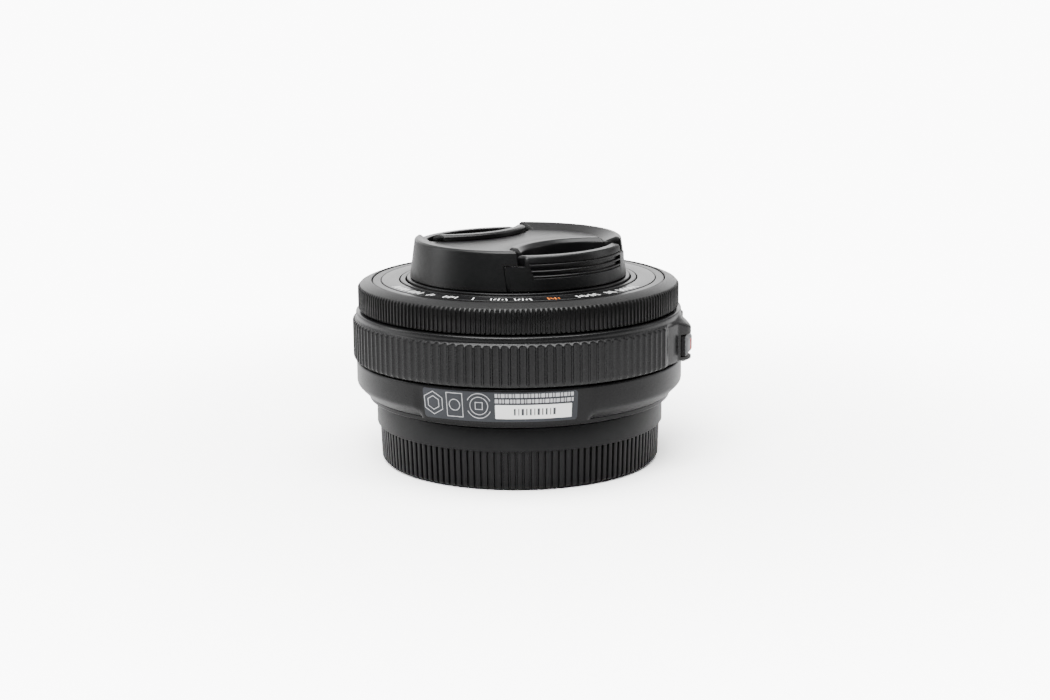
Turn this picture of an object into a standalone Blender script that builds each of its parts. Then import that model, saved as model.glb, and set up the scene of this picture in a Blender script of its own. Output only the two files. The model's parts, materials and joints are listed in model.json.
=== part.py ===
"""Pancake prime lens standing on its rear cap, with its pinch-type front cap fitted.

Units in the constants are millimetres; MM turns them into metres. The optical axis is Z, the floor
is z = 0. The label faces -Y and the aperture ring's lock button is 10 degrees before +X.
"""
import math

import bmesh
import bpy
from mathutils import Matrix, Vector

MM = 0.001

# ---------------------------------------------------------------- driving dimensions
MAX_R = 31.0             # aperture ring over its ribs: 62 mm across
FLANGE_Z = 12.0          # lens side of the camera mount
FRONT_Z = 34.5           # front rim of the filter thread
FACE_GAP = 0.3           # gap between the faces of neighbouring rings

SEG = 36                 # sides of an outer ring
MID = 24                 # sides of a ring inside the barrel
FINE = 20                # sides of a small round piece

REAR_CAP_TOP = FLANGE_Z - FACE_GAP
REAR_CAP_R = 26.85
REAR_CAP_INNER_R = 25.2
REAR_CAP_FLOOR = 1.8

MOUNT_TUBE_R = 20.6
MOUNT_BORE_R = 19.4
MOUNT_FLANGE_R = 26.6
MOUNT_THICK = 1.7
LUG_R = 21.9
LUG_SPAN = 52.0
LUG_Z = (9.4, 10.7)
CAP_LUG_Z = (10.85, 11.6)
LUG_ANGLES = (30.0, 150.0, 270.0)
SCREW_ANGLES = (90.0, 210.0, 330.0)
SCREW_CIRCLE_R = 24.0
HOLE_TURN = 7.0          # keeps a hole's corners off the edges of the rings it goes through

WEB_Z = (13.9, 15.0)     # floor of the rear barrel
BARREL_R = 30.45
BARREL_TOP = 19.45
SPIGOT_R = (28.05, 28.55)
PAD_ANGLES = (-130.0, -60.0)
LABEL_ANGLES = (-124.0, -70.0)
LABEL_Z = (13.3, 18.85)

APERTURE_Z = (BARREL_TOP + 0.4, 28.65)
APERTURE_BORE_R = 28.75
HOUSING_ANGLE = -14.0
HOUSING_HALF = 4.2
BUTTON_HALF = 2.7
BUTTON_Z = (20.75, 24.4)

FOCUS_Z = (28.95, 34.2)
FOCUS_R = 29.9
FRONT_TUBE_R = (26.9, 27.7)

INNER_R = (19.7, 20.72)
FILTER_BORE_R = 19.3
UNIT_TRAVEL = 2.7
CAM_TURN = 100.0
CAM_R = (21.0, 21.7)
GUIDE_R = (22.9, 23.7)
FOLLOWER_ANGLES = (90.0, 210.0, 330.0)
FOLLOWER_Z = 19.0
FOLLOWER_R = 0.85
SLOT_HALF = 1.0

GEAR_MODULE = 0.4
CAM_TEETH = 111          # on the full circle; the ring carries a sector of them
IDLER_TEETH = 10
PINION_TEETH = 8
IDLER_ANGLE = 150.0
MOTOR_CIRCLE_R = 25.8
GEAR_Z = (15.7, 17.1)

BLADES = 7
BLADE_THICK = 0.08
BLADE_PITCH = 0.12
BLADE_Z = 23.05
PIVOT_R = 9.4
BLADE_TURN = 32.0
IRIS_TURN = 24.0
IRIS_RING_Z = (22.15, 22.85)
DRIVE_PIN = Vector((0.0, -2.0))
IRIS_MODULE = 0.3
IRIS_TEETH = 84
IRIS_PINION_TEETH = 10
IRIS_MOTOR_ANGLE = 45.0

CAP_Z = 34.65            # underside of the front cap's wall
CAP_TOP = 41.8
CAP_PLATE_Z = (39.5, 40.7)
LATCH_ANGLE = -50.5      # the right-hand grip; the other one is opposite
SCOOP_CENTRE = 22.8      # centre of the concave finger edge, along the latch's own axis
SCOOP_R = 13.9
RECESS_HALF = 12.3
SKIRT_HALF = 14.25
LATCH_HALF = 14.1
GRIP_HALF = 11.0
LIP_HALF = 9.3
RETAINER_R = 17.7
RETAINER_HALF = 13.8     # flat sides that leave room for the claws when the grips are squeezed


# ---------------------------------------------------------------- materials
def material(name, colour, roughness, metallic=0.0):
    made = bpy.data.materials.new(name)
    made.use_nodes = True
    shader = made.node_tree.nodes["Principled BSDF"]
    shader.inputs["Base Color"].default_value = (*colour, 1.0)
    shader.inputs["Roughness"].default_value = roughness
    shader.inputs["Metallic"].default_value = metallic
    made.diffuse_color = (*colour, 1.0)
    return made


FINISHES = {
    "cap_plastic": ((0.012, 0.012, 0.013), 0.5, 0.0),
    "barrel_black": ((0.012, 0.012, 0.013), 0.35, 0.6),
    "ring_black": ((0.016, 0.016, 0.017), 0.38, 0.6),
    "inner_black": ((0.01, 0.01, 0.01), 0.7, 0.0),
    "button_grey": ((0.35, 0.36, 0.37), 0.35, 0.8),
    "label": ((0.06, 0.065, 0.075), 0.4, 0.0),
    "mount_metal": ((0.75, 0.75, 0.76), 0.25, 1.0),
    "steel": ((0.6, 0.6, 0.62), 0.3, 1.0),
    "brass": ((0.7, 0.5, 0.22), 0.3, 1.0),
    "aluminium": ((0.5, 0.5, 0.52), 0.4, 1.0),
    "rubber": ((0.02, 0.02, 0.02), 0.8, 0.0),
    "glass": ((0.8, 0.85, 0.88), 0.02, 0.0),
    "board": ((0.02, 0.18, 0.08), 0.5, 0.0),
    "gold": ((0.8, 0.6, 0.25), 0.25, 1.0),
    "gear_plastic": ((0.7, 0.68, 0.62), 0.5, 0.0),
}


# ---------------------------------------------------------------- shape helpers
def place(bm, name, finish, at=(0.0, 0.0, 0.0), turn=0.0, smooth=True):
    """Turn a millimetre bmesh into an object whose origin is at `at`, turned about Z."""
    bmesh.ops.remove_doubles(bm, verts=bm.verts, dist=1e-4)
    bmesh.ops.recalc_face_normals(bm, faces=bm.faces)
    bmesh.ops.scale(bm, vec=(MM, MM, MM), verts=bm.verts)
    mesh = bpy.data.meshes.new(name)
    bm.to_mesh(mesh)
    bm.free()
    if smooth:
        mesh.shade_smooth()
        mesh.set_sharp_from_angle(angle=math.radians(35))
    made = bpy.data.objects.new(name, mesh)
    made.location = Vector(at) * MM
    made.rotation_euler = (0.0, 0.0, math.radians(turn))
    if finish:
        mesh.materials.append(MATERIALS[finish])
    bpy.context.scene.collection.objects.link(made)
    return made


def turned(profile, sides=SEG):
    """Spin a closed outline of (radius, height) points once round the Z axis."""
    bm = bmesh.new()
    verts = [bm.verts.new((r, 0.0, z)) for r, z in profile]
    edges = [bm.edges.new((verts[i - 1], verts[i])) for i in range(len(verts))]
    on_axis = [e for e in edges if all(abs(v.co.x) < 1e-9 for v in e.verts)]
    edges = [e for e in edges if e not in on_axis]
    for edge in on_axis:
        bm.edges.remove(edge)
    bmesh.ops.spin(bm, geom=verts + edges, axis=(0, 0, 1), cent=(0, 0, 0), dvec=(0, 0, 0),
                   angle=2 * math.pi, steps=sides, use_merge=True, use_duplicate=False)
    return bm


def loft(bottom, top, z0, z1):
    """Closed solid between two outlines with the same number of (x, y) points."""
    bm = bmesh.new()
    low = [bm.verts.new((x, y, z0)) for x, y in bottom]
    high = [bm.verts.new((x, y, z1)) for x, y in top]
    bm.faces.new(low[::-1])
    bm.faces.new(high)
    for i in range(len(low)):
        bm.faces.new((low[i - 1], low[i], high[i], high[i - 1]))
    return bm


def prism(outline, z0, z1):
    return loft(outline, outline, z0, z1)


def tube_of(outer, inner, z0, z1):
    """Closed ring between two outlines with the same number of (x, y) points."""
    bm = bmesh.new()
    loops = [[bm.verts.new((x, y, z)) for x, y in line]
             for line, z in ((outer, z0), (outer, z1), (inner, z1), (inner, z0))]
    for a in range(4):
        b = (a + 1) % 4
        for i in range(len(outer)):
            bm.faces.new((loops[a][i - 1], loops[a][i], loops[b][i], loops[b][i - 1]))
    return bm


def polar(radius, degrees, centre=(0.0, 0.0)):
    angle = math.radians(degrees)
    return (centre[0] + radius * math.cos(angle), centre[1] + radius * math.sin(angle))


def arc(radius, start, end, steps, centre=(0.0, 0.0)):
    return [polar(radius, start + (end - start) * i / steps, centre) for i in range(steps + 1)]


def circle(radius, sides=FINE, centre=(0.0, 0.0)):
    return arc(radius, 0.0, 360.0 - 360.0 / sides, sides - 1, centre)


def sector(inner, outer, start, end, steps):
    return arc(outer, start, end, steps) + arc(inner, end, start, steps)


def box(low, high):
    (x0, y0, z0), (x1, y1, z1) = low, high
    return prism([(x0, y0), (x1, y0), (x1, y1), (x0, y1)], z0, z1)


def rod_along(bm, frame):
    """Move a Z-axis bmesh into another frame."""
    bmesh.ops.transform(bm, matrix=frame, verts=bm.verts)
    return bm


def combine(target, bm, operation, name, at=(0.0, 0.0, 0.0), turn=0.0):
    """Add a Boolean with a hidden tool made from a millimetre bmesh."""
    tool = place(bm, name, None, at, turn, smooth=False)
    tool.hide_render = True
    tool.display_type = "WIRE"
    step = target.modifiers.new(name, "BOOLEAN")
    step.operation = operation
    step.solver = "EXACT"
    step.object = tool
    return target


def cut(target, bm, name, at=(0.0, 0.0, 0.0), turn=0.0):
    return combine(target, bm, "DIFFERENCE", name + "_tool", at, turn)


def join(target, bm, name, at=(0.0, 0.0, 0.0), turn=0.0):
    return combine(target, bm, "UNION", name + "_tool", at, turn)


def tooth_line(teeth, module, first=0.0, count=None):
    """Outline of `count` trapezoid gear teeth; a tooth stands at the angle `first`."""
    pitch = 360.0 / teeth
    root = module * teeth / 2 - 1.2 * module
    tip = module * teeth / 2 + 0.85 * module
    line = []
    for i in range(count or teeth):
        middle = first + i * pitch
        line += [polar(root, middle - 0.27 * pitch), polar(tip, middle - 0.07 * pitch),
                 polar(tip, middle + 0.07 * pitch), polar(root, middle + 0.27 * pitch)]
    return line


def coil(name, finish, start, end, radius, wire, turns, per_turn=8):
    """A helical spring from start to end, as a bevelled curve with filled ends."""
    start, end = Vector(start), Vector(end)
    along = end - start
    side = along.orthogonal().normalized()
    other = along.normalized().cross(side)
    data = bpy.data.curves.new(name, "CURVE")
    data.dimensions = "3D"
    data.bevel_depth = wire * MM
    data.bevel_resolution = 0
    data.use_fill_caps = True
    line = data.splines.new("POLY")
    steps = turns * per_turn
    line.points.add(steps)
    for i in range(steps + 1):
        angle = 2 * math.pi * i / per_turn
        spot = start + along * (i / steps) + radius * (side * math.cos(angle) + other * math.sin(angle))
        line.points[i].co = (*(spot * MM), 1.0)
    data.materials.append(MATERIALS[finish])
    made = bpy.data.objects.new(name, data)
    bpy.context.scene.collection.objects.link(made)
    return made


# ---------------------------------------------------------------- rear cap and mount
def rear_cap():
    wall = [(0, 0), (25.3, 0), (26.1, 0.8), (26.35, 7.35), (REAR_CAP_R, 7.5),
            (REAR_CAP_R, REAR_CAP_TOP), (REAR_CAP_INNER_R, REAR_CAP_TOP),
            (REAR_CAP_INNER_R, REAR_CAP_FLOOR), (0, REAR_CAP_FLOOR)]
    cap = place(turned(wall), "rear_cap", "cap_plastic")
    for i, angle in enumerate(LUG_ANGLES):
        lug = sector(MOUNT_TUBE_R + 0.25, REAR_CAP_INNER_R + 0.5, angle - LUG_SPAN / 2,
                     angle + LUG_SPAN / 2, 6)
        join(cap, prism(lug, *CAP_LUG_Z), f"rear_cap_lug_{i + 1}")


def mount_ring():
    face = FLANGE_Z + MOUNT_THICK
    section = [(MOUNT_BORE_R, 6.8), (MOUNT_TUBE_R, 6.8), (MOUNT_TUBE_R, FLANGE_Z),
               (MOUNT_FLANGE_R, FLANGE_Z), (MOUNT_FLANGE_R, face), (MOUNT_BORE_R, face)]
    ring = place(turned(section, MID + 8), "mount_ring", "mount_metal")
    for i, angle in enumerate(LUG_ANGLES):
        lug = sector(MOUNT_TUBE_R - 0.5, LUG_R, angle - LUG_SPAN / 2, angle + LUG_SPAN / 2, 6)
        join(ring, prism(lug, *LUG_Z), f"mount_lug_{i + 1}")
    for i, angle in enumerate(SCREW_ANGLES):
        spot = polar(SCREW_CIRCLE_R, angle)
        hole = turned([(0, 11), (1.55, 11), (1.55, 12.95), (0.95, 12.95), (0.95, 15), (0, 15)], 12)
        cut(ring, hole, f"mount_hole_{i + 1}", (*spot, 0), HOLE_TURN)


def mount_screws():
    for i, angle in enumerate(SCREW_ANGLES):
        shank = [(0, FLANGE_Z + 0.45), (0.7, FLANGE_Z + 0.45), (0.75, FLANGE_Z + 0.1),
                 (1.35, FLANGE_Z + 0.1), (1.35, 12.8), (0.75, 12.8), (0.75, 14.85), (0, 14.85)]
        place(turned(shank, 12), f"mount_screw_{i + 1}", "steel",
              (*polar(SCREW_CIRCLE_R, angle), 0))


def mount_gasket():
    low, high = FLANGE_Z - 0.05, FLANGE_Z + MOUNT_THICK
    section = [(MOUNT_FLANGE_R + 0.15, low + 0.2), (MOUNT_FLANGE_R + 0.5, low),
               (MOUNT_FLANGE_R + 0.95, low + 0.15), (MOUNT_FLANGE_R + 0.95, high),
               (MOUNT_FLANGE_R + 0.15, high)]
    place(turned(section), "mount_gasket", "rubber")


def contact_block():
    body = sector(16.2, 19.2, 248, 292, 8)
    place(prism(body, 7.2, 12.8), "contact_block", "inner_black")
    strip = place(prism(sector(16.7, 18.8, 251, 289, 8), 6.85, 7.05), "contact_strip", "gold")
    for i in range(10):
        angle = 253.4 + i * 3.69
        pad = sector(17.1, 18.4, angle - 1.1, angle + 1.1, 1)
        join(strip, prism(pad, 6.6, 6.95), f"contact_pad_{i + 1}")


def rear_baffle():
    section = [(0, 7.0), (15.8, 7.0), (15.8, 13.2), (15.0, 13.2), (15.0, 7.8), (0, 7.8)]
    baffle = place(turned(section, MID), "rear_baffle", "inner_black")
    window = prism([(-9.5, -6.5), (9.5, -6.5), (9.5, 6.5), (-9.5, 6.5)], 6, 9)
    cut(baffle, window, "baffle_window")


# ---------------------------------------------------------------- rear barrel
def rear_barrel():
    """The lower chamfer stops where the label pad stands at full radius."""
    bm = bmesh.new()
    rows = []
    for i in range(SEG):
        degrees = 360.0 * i / SEG
        from_pad = (degrees - PAD_ANGLES[0]) % 360.0
        on_pad = from_pad <= PAD_ANGLES[1] - PAD_ANGLES[0] + 1e-6
        low = (BARREL_R, 13.15) if on_pad else (28.5, 13.15)
        step = (BARREL_R, 14.95) if on_pad else (30.3, 14.95)
        section = [(27.75, 12.2), (28.2, 12.2), (28.2, 13.05), low, step, (BARREL_R, 15.15),
                   (BARREL_R, BARREL_TOP), (SPIGOT_R[1], BARREL_TOP), (SPIGOT_R[1], 22.0),
                   (SPIGOT_R[0], 22.0), (SPIGOT_R[0], WEB_Z[1]), (20.9, WEB_Z[1]),
                   (20.9, WEB_Z[0]), (27.75, WEB_Z[0])]
        rows.append([bm.verts.new((*polar(r, degrees), z)) for r, z in section])
    for i in range(SEG):
        a, b = rows[i - 1], rows[i]
        for k in range(len(a)):
            bm.faces.new((a[k - 1], b[k - 1], b[k], a[k]))
    bmesh.ops.triangulate(bm, faces=bm.faces)
    barrel = place(bm, "rear_barrel", "barrel_black")
    for i, angle in enumerate(SCREW_ANGLES):
        hole = prism(circle(0.95, 12), 13, 16)
        cut(barrel, hole, f"web_hole_{i + 1}", (*polar(SCREW_CIRCLE_R, angle), 0), HOLE_TURN)
    cut(barrel, prism(circle(0.6, 12), 16.2, 21), "click_pocket", (-29.5, 0, 0), HOLE_TURN)


def info_label():
    steps = 14
    plate = arc(30.75, *LABEL_ANGLES, steps) + arc(30.62, *reversed(LABEL_ANGLES), steps)
    place(prism(plate, *LABEL_Z), "info_label", "label")


def main_board():
    board = place(prism(sector(24.1, 27.7, 182, 468, 40), 15.6, 16.4), "main_board", "board")
    for i, (angle, size) in enumerate(((200, 1.4), (245, 1.6), (300, 1.4), (385, 1.6), (440, 1.2))):
        chip = box((25.9 - size, -size, 16.2), (25.9 + size, size, 17.3))
        join(board, chip, f"chip_{i + 1}", turn=angle)


# ---------------------------------------------------------------- aperture ring and its lock
def aperture_ring():
    low, high = APERTURE_Z
    section = [(APERTURE_BORE_R, low), (29.0, low), (29.0, low + 0.3), (30.0, low + 0.3),
               (30.0, low), (30.65, low), (MAX_R, low + 0.35), (MAX_R, 26.9), (30.35, 27.5),
               (30.35, 28.45), (30.1, high), (APERTURE_BORE_R, high)]
    ring = place(turned(section), "aperture_ring", "ring_black")
    side = [(30.2, 20.6), (30.75, 19.5), (31.2, 19.3), (32.0, 19.3), (32.5, 19.8),
            (32.5, 25.6), (32.2, 26.1), (30.7, 27.9), (30.2, 27.9)]
    upright = Matrix.Rotation(math.radians(90), 4, "X")
    housing = rod_along(prism(side, -HOUSING_HALF, HOUSING_HALF), upright)
    join(ring, housing, "lock_housing", turn=HOUSING_ANGLE)
    pocket = box((29.4, -BUTTON_HALF - 0.2, BUTTON_Z[0] - 0.2),
                 (34.0, BUTTON_HALF + 0.2, BUTTON_Z[1] + 0.2))
    cut(ring, pocket, "lock_pocket", turn=HOUSING_ANGLE)


def lock_button():
    low, high = BUTTON_Z
    side = [(30.5, low), (32.2, low), (32.72, low + 0.6), (32.72, high - 0.6), (32.2, high),
            (30.5, high)]
    upright = Matrix.Rotation(math.radians(90), 4, "X")
    place(rod_along(prism(side, -BUTTON_HALF, BUTTON_HALF), upright), "lock_button",
          "button_grey", turn=HOUSING_ANGLE, smooth=False)
    middle = (low + high) / 2
    start, end = polar(29.6, HOUSING_ANGLE), polar(30.3, HOUSING_ANGLE)
    coil("lock_spring", "steel", (*start, middle), (*end, middle), 1.1, 0.09, 3)


def click_stop():
    coil("click_spring", "steel", (-29.5, 0, 16.4), (-29.5, 0, 18.8), 0.35, 0.08, 4)
    ball = bmesh.new()
    bmesh.ops.create_icosphere(ball, subdivisions=2, radius=0.45)
    place(ball, "click_ball", "steel", (-29.5, 0, 19.5))


# ---------------------------------------------------------------- front barrel and focus ring
def front_barrel():
    inner, outer = FRONT_TUBE_R
    section = [(23.9, 25.5), (outer, 25.5), (outer, 32.95), (27.15, 33.05), (27.15, 34.05),
               (25.6, 34.05), (25.6, 33.4), (22.1, 33.4), (22.1, 32.4), (inner, 32.4),
               (inner, 26.3), (23.9, 26.3)]
    barrel = place(turned(section), "front_barrel", "barrel_black")
    cut(barrel, box((-2.2, 25.5, 29.1), (2.2, 29.0, 31.2)), "sensor_window")


def name_ring():
    place(turned([(22.2, 33.55), (25.45, 33.55), (25.45, 34.1), (22.2, 34.1)]), "name_ring",
          "ring_black")


def seal_ring():
    place(turned([(20.98, 32.6), (21.95, 32.6), (21.95, 34.05), (21.8, 34.2), (20.98, 34.2)]),
          "seal_ring", "barrel_black")


def focus_ring():
    low, high = FOCUS_Z
    section = [(29.05, low), (29.6, low), (FOCUS_R, low + 0.25), (FOCUS_R, 33.2), (27.45, high),
               (27.3, high), (27.3, 33.2), (27.9, 33.15), (27.9, 31.1), (29.05, 31.1)]
    place(turned(section), "focus_ring", "ring_black")


def focus_encoder_ring():
    teeth = 20
    step = 360.0 / teeth
    inner, outer = [], []
    for i in range(teeth):
        for part, radius in ((0.0, 28.05), (0.45, 28.05), (0.5, 28.5), (0.95, 28.5)):
            inner.append(polar(radius, (i + part) * step))
            outer.append(polar(28.9, (i + part) * step))
    place(tube_of(outer, inner, 29.2, 30.9), "focus_encoder_ring", "inner_black", smooth=False)


def focus_sensor():
    place(box((-1.8, 24.4, 29.4), (1.8, 27.85, 30.9)), "focus_sensor", "inner_black",
          smooth=False)


# ---------------------------------------------------------------- focus drive
def helical_bar(start_angle, turn, z0, rise, inner, outer, half):
    """A bar that climbs round the axis: it cuts one cam slot, with a little run-out."""
    steps = 12
    spare = 3.2
    bm = bmesh.new()
    rows = []
    for i in range(steps + 1):
        swept = -spare + (turn + 2 * spare) * i / steps
        height = z0 + rise * swept / turn
        corners = ((inner, height - half), (outer, height - half), (outer, height + half),
                   (inner, height + half))
        rows.append([bm.verts.new((*polar(r, start_angle - swept), z)) for r, z in corners])
    bm.faces.new(rows[0])
    bm.faces.new(rows[-1][::-1])
    for a, b in zip(rows, rows[1:]):
        for k in range(4):
            bm.faces.new((a[k - 1], a[k], b[k], b[k - 1]))
    return bm


def cam_ring():
    inner, outer = CAM_R
    ring = place(turned([(inner, 15.3), (outer, 15.3), (outer, 30.0), (inner, 30.0)], MID),
                 "cam_ring", "brass")
    pitch = 360.0 / CAM_TEETH
    count = 35
    first = IDLER_ANGLE - 32 * pitch
    teeth = tooth_line(CAM_TEETH, GEAR_MODULE, first, count)
    inside = [polar(outer - 0.45, first + i * pitch) for i in range(count - 1, -1, -1)]
    join(ring, prism(teeth + inside, *GEAR_Z), "cam_teeth")
    for i, angle in enumerate(FOLLOWER_ANGLES):
        bar = helical_bar(angle, CAM_TURN, FOLLOWER_Z, UNIT_TRAVEL, inner - 0.5, outer + 0.5,
                          SLOT_HALF)
        cut(ring, bar, f"cam_slot_{i + 1}")


def guide_barrel():
    inner, outer = GUIDE_R
    section = [(inner, 15.2), (outer, 15.2), (outer, 31.8), (inner, 31.8)]
    barrel = place(turned(section, MID), "guide_barrel", "aluminium")
    for i, angle in enumerate(FOLLOWER_ANGLES):
        slot = box((20.0, -SLOT_HALF, FOLLOWER_Z - 1.2),
                   (26.0, SLOT_HALF, FOLLOWER_Z + UNIT_TRAVEL + 1.2))
        cut(barrel, slot, f"guide_slot_{i + 1}", turn=angle)
    cut(barrel, box((20.0, -3.2, 14.0), (26.0, 3.2, 17.6)), "idler_window", turn=IDLER_ANGLE)


def cam_followers():
    for i, angle in enumerate(FOLLOWER_ANGLES):
        lying = Matrix.Rotation(math.radians(90), 4, "Y")
        pin = rod_along(prism(circle(FOLLOWER_R, 16), 19.8, 23.5), lying)
        place(pin, f"cam_follower_{i + 1}", "steel", (0, 0, FOLLOWER_Z), angle)


def focus_gears():
    pitch = 360.0 / CAM_TEETH
    reach = GEAR_MODULE * (CAM_TEETH + IDLER_TEETH) / 2
    idler_at = polar(reach, IDLER_ANGLE)
    facing = IDLER_ANGLE + 180.0 + 180.0 / IDLER_TEETH
    idler_line = tooth_line(IDLER_TEETH, GEAR_MODULE, facing)
    bore = [polar(0.55, facing + 360.0 * (i - 0.5) / len(idler_line))
            for i in range(len(idler_line))]
    low, high = GEAR_Z
    place(tube_of(idler_line, bore, low, high), "idler_gear", "gear_plastic", (*idler_at, 0),
          smooth=False)
    place(prism(circle(0.45, 16), 15.15, 17.6), "idler_pin", "steel", (*idler_at, 0))

    spacing = GEAR_MODULE * (IDLER_TEETH + PINION_TEETH) / 2
    cosine = (reach ** 2 + MOTOR_CIRCLE_R ** 2 - spacing ** 2) / (2 * reach * MOTOR_CIRCLE_R)
    motor_angle = IDLER_ANGLE + math.degrees(math.acos(cosine))
    motor_at = polar(MOTOR_CIRCLE_R, motor_angle)
    towards = math.degrees(math.atan2(motor_at[1] - idler_at[1], motor_at[0] - idler_at[0]))
    idler_pitch = 360.0 / IDLER_TEETH
    offset = ((towards - facing) / idler_pitch) % 1.0
    pinion_first = towards + 180.0 + (offset + 0.5) * 360.0 / PINION_TEETH
    pinion = place(prism(tooth_line(PINION_TEETH, GEAR_MODULE, pinion_first), low, high),
                   "motor_pinion", "brass", (*motor_at, 0), smooth=False)
    join(pinion, prism(circle(0.4, 12), high - 0.4, 19.2), "pinion_shaft", (*motor_at, 0))
    can = [(0.55, 18.1), (1.9, 18.1), (2.0, 18.3), (2.0, 25.1), (0, 25.1), (0, 19.5),
           (0.55, 19.5)]
    place(turned(can, 20), "focus_motor", "steel", (*motor_at, 0))


# ---------------------------------------------------------------- moving lens unit
def inner_barrel():
    inner, outer = INNER_R
    section = [(inner, 16.5), (outer, 16.5), (outer, 34.35), (outer - 0.15, FRONT_Z),
               (FILTER_BORE_R + 0.3, FRONT_Z), (FILTER_BORE_R, FRONT_Z - 0.3),
               (FILTER_BORE_R, 31.9), (inner, 31.9)]
    barrel = place(turned(section, MID + 4), "inner_barrel", "barrel_black")
    lying = Matrix.Rotation(math.radians(90), 4, "Y")
    for i, angle in enumerate(FOLLOWER_ANGLES):
        hole = rod_along(prism(circle(1.0, 16), 19.0, 22.0), lying)
        cut(barrel, hole, f"follower_hole_{i + 1}", (0, 0, FOLLOWER_Z), angle)


def front_bezel():
    """Dish between the filter thread and the front element, with a stepped rim and a collar."""
    section = [(9.7, 30.5), (9.7, 30.0), (18.7, 30.6), (18.7, 25.2), (19.45, 25.2),
               (19.45, 31.6), (18.2, 31.6), (17.6, 31.1)]
    place(turned(section, MID), "front_bezel", "inner_black")


def optical_cells():
    front = [(6.2, 24.1), (11.6, 24.1), (11.6, 24.9), (9.4, 24.9), (9.4, 29.85), (8.6, 29.85),
             (8.6, 27.55), (7.7, 27.4), (7.7, 24.85), (6.2, 24.85)]
    cell = place(turned(front, FINE), "front_cell", "inner_black")
    for i in range(BLADES):
        hole = prism(circle(0.42, 8), 23.5, 24.55)
        cut(cell, hole, f"pivot_hole_{i + 1}", (*polar(PIVOT_R, 360.0 * i / BLADES), 0))
    rear = [(8.8, 13.6), (9.8, 13.6), (9.8, 21.1), (7.4, 21.1), (7.4, 18.75), (8.0, 18.65),
            (8.0, 16.3), (8.8, 16.2)]
    place(turned(rear, FINE), "rear_cell", "inner_black")


def lens(name, radius, front, back, front_bulge, back_bulge):
    """A glass element: edge heights `front` and `back`, and how far each face bulges upwards."""
    rings = 2
    section = [(radius * i / rings, front + front_bulge * (1 - (i / rings) ** 2))
               for i in range(rings + 1)]
    section += [(radius * i / rings, back + back_bulge * (1 - (i / rings) ** 2))
                for i in range(rings, -1, -1)]
    place(turned(section, FINE), name, "glass")


def optics():
    """Seven elements in five groups; 2 with 3 and 4 with 5 are cemented pairs."""
    lens("element_1", 8.4, 28.9, 27.75, 0.75, 0.5)
    lens("element_2", 7.5, 26.8, 26.2, 0.6, -0.35)
    lens("element_3", 7.5, 26.15, 25.0, -0.35, 0.75)
    lens("element_4", 7.2, 20.9, 20.1, -0.35, 0.2)
    lens("element_5", 7.2, 20.05, 18.95, 0.2, -0.6)
    lens("element_6", 7.75, 18.05, 17.0, 0.1, -0.35)
    lens("element_7", 8.55, 15.95, 14.6, 0.3, -0.8)


def iris_housing():
    section = [(7.4, 21.3), (19.5, 21.3), (19.5, 25.0), (18.9, 25.0), (18.9, 22.0), (8.15, 22.0),
               (8.15, 22.95), (7.4, 22.95)]
    housing = place(turned(section, MID), "iris_housing", "inner_black")
    reach = IRIS_MODULE * (IRIS_TEETH + IRIS_PINION_TEETH) / 2
    cut(housing, prism(circle(0.8, 12), 20, 23), "iris_shaft_hole",
        (*polar(reach, IRIS_MOTOR_ANGLE), 0))


def drive_pin_path(iris_angle):
    """Where a blade's drive pin stands in the iris ring's own frame."""
    swung = Matrix.Rotation(math.radians(iris_angle * BLADE_TURN / IRIS_TURN), 2) @ DRIVE_PIN
    spot = Vector((PIVOT_R, 0.0)) + swung
    return Matrix.Rotation(math.radians(-iris_angle), 2) @ spot


def cam_slot_outline(half):
    steps = 5
    spare = 2.6
    line = []
    for side in (1, -1):
        row = []
        for i in range(steps + 1):
            angle = -spare + (IRIS_TURN + 2 * spare) * i / steps
            here = drive_pin_path(angle)
            ahead = (drive_pin_path(angle + 0.1) - here).normalized()
            row.append(here + side * half * Vector((-ahead.y, ahead.x)))
        line += row if side == 1 else row[::-1]
    return [(p.x, p.y) for p in line]


def iris_ring():
    low, high = IRIS_RING_Z
    ring = place(turned([(8.4, low), (12.1, low), (12.1, high), (8.4, high)], MID),
                 "iris_ring", "inner_black")
    pitch = 360.0 / IRIS_TEETH
    count = 11
    first = IRIS_MOTOR_ANGLE - 8 * pitch
    teeth = tooth_line(IRIS_TEETH, IRIS_MODULE, first, count)
    inside = [polar(11.6, first + i * pitch) for i in range(count - 1, -1, -1)]
    join(ring, prism(teeth + inside, low, high), "iris_teeth")
    for i in range(BLADES):
        cut(ring, prism(cam_slot_outline(0.36), low - 1, high + 1), f"iris_slot_{i + 1}",
            turn=360.0 * i / BLADES)


def iris_blades():
    """Each blade swings on its pin at the iris housing's rim; the blades lie one above another."""
    centre = (-PIVOT_R, 0.0)
    outline = ([(-0.6, -2.45), (0.5, -2.45), (0.75, -2.0), (0.75, 0.4), (0.4, 1.0)]
               + arc(8.85, 9.0, 72.0, 7, centre) + arc(6.1, 75.0, 7.0, 7, centre)
               + [(-1.0, -0.8), (-0.8, -2.0)])
    for i in range(BLADES):
        low = BLADE_Z + i * BLADE_PITCH
        spot = (*polar(PIVOT_R, 360.0 * i / BLADES), 0)
        turn = 360.0 * i / BLADES
        blade = place(prism(outline, low, low + BLADE_THICK), f"iris_blade_{i + 1}", "steel",
                      spot, turn, smooth=False)
        join(blade, prism(circle(0.3, 8), low + 0.03, 24.45), f"blade_pivot_{i + 1}", spot, turn)
        drive = prism(circle(0.24, 8, tuple(DRIVE_PIN)), 22.3, low + BLADE_THICK - 0.03)
        join(blade, drive, f"blade_drive_{i + 1}", spot, turn)


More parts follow.
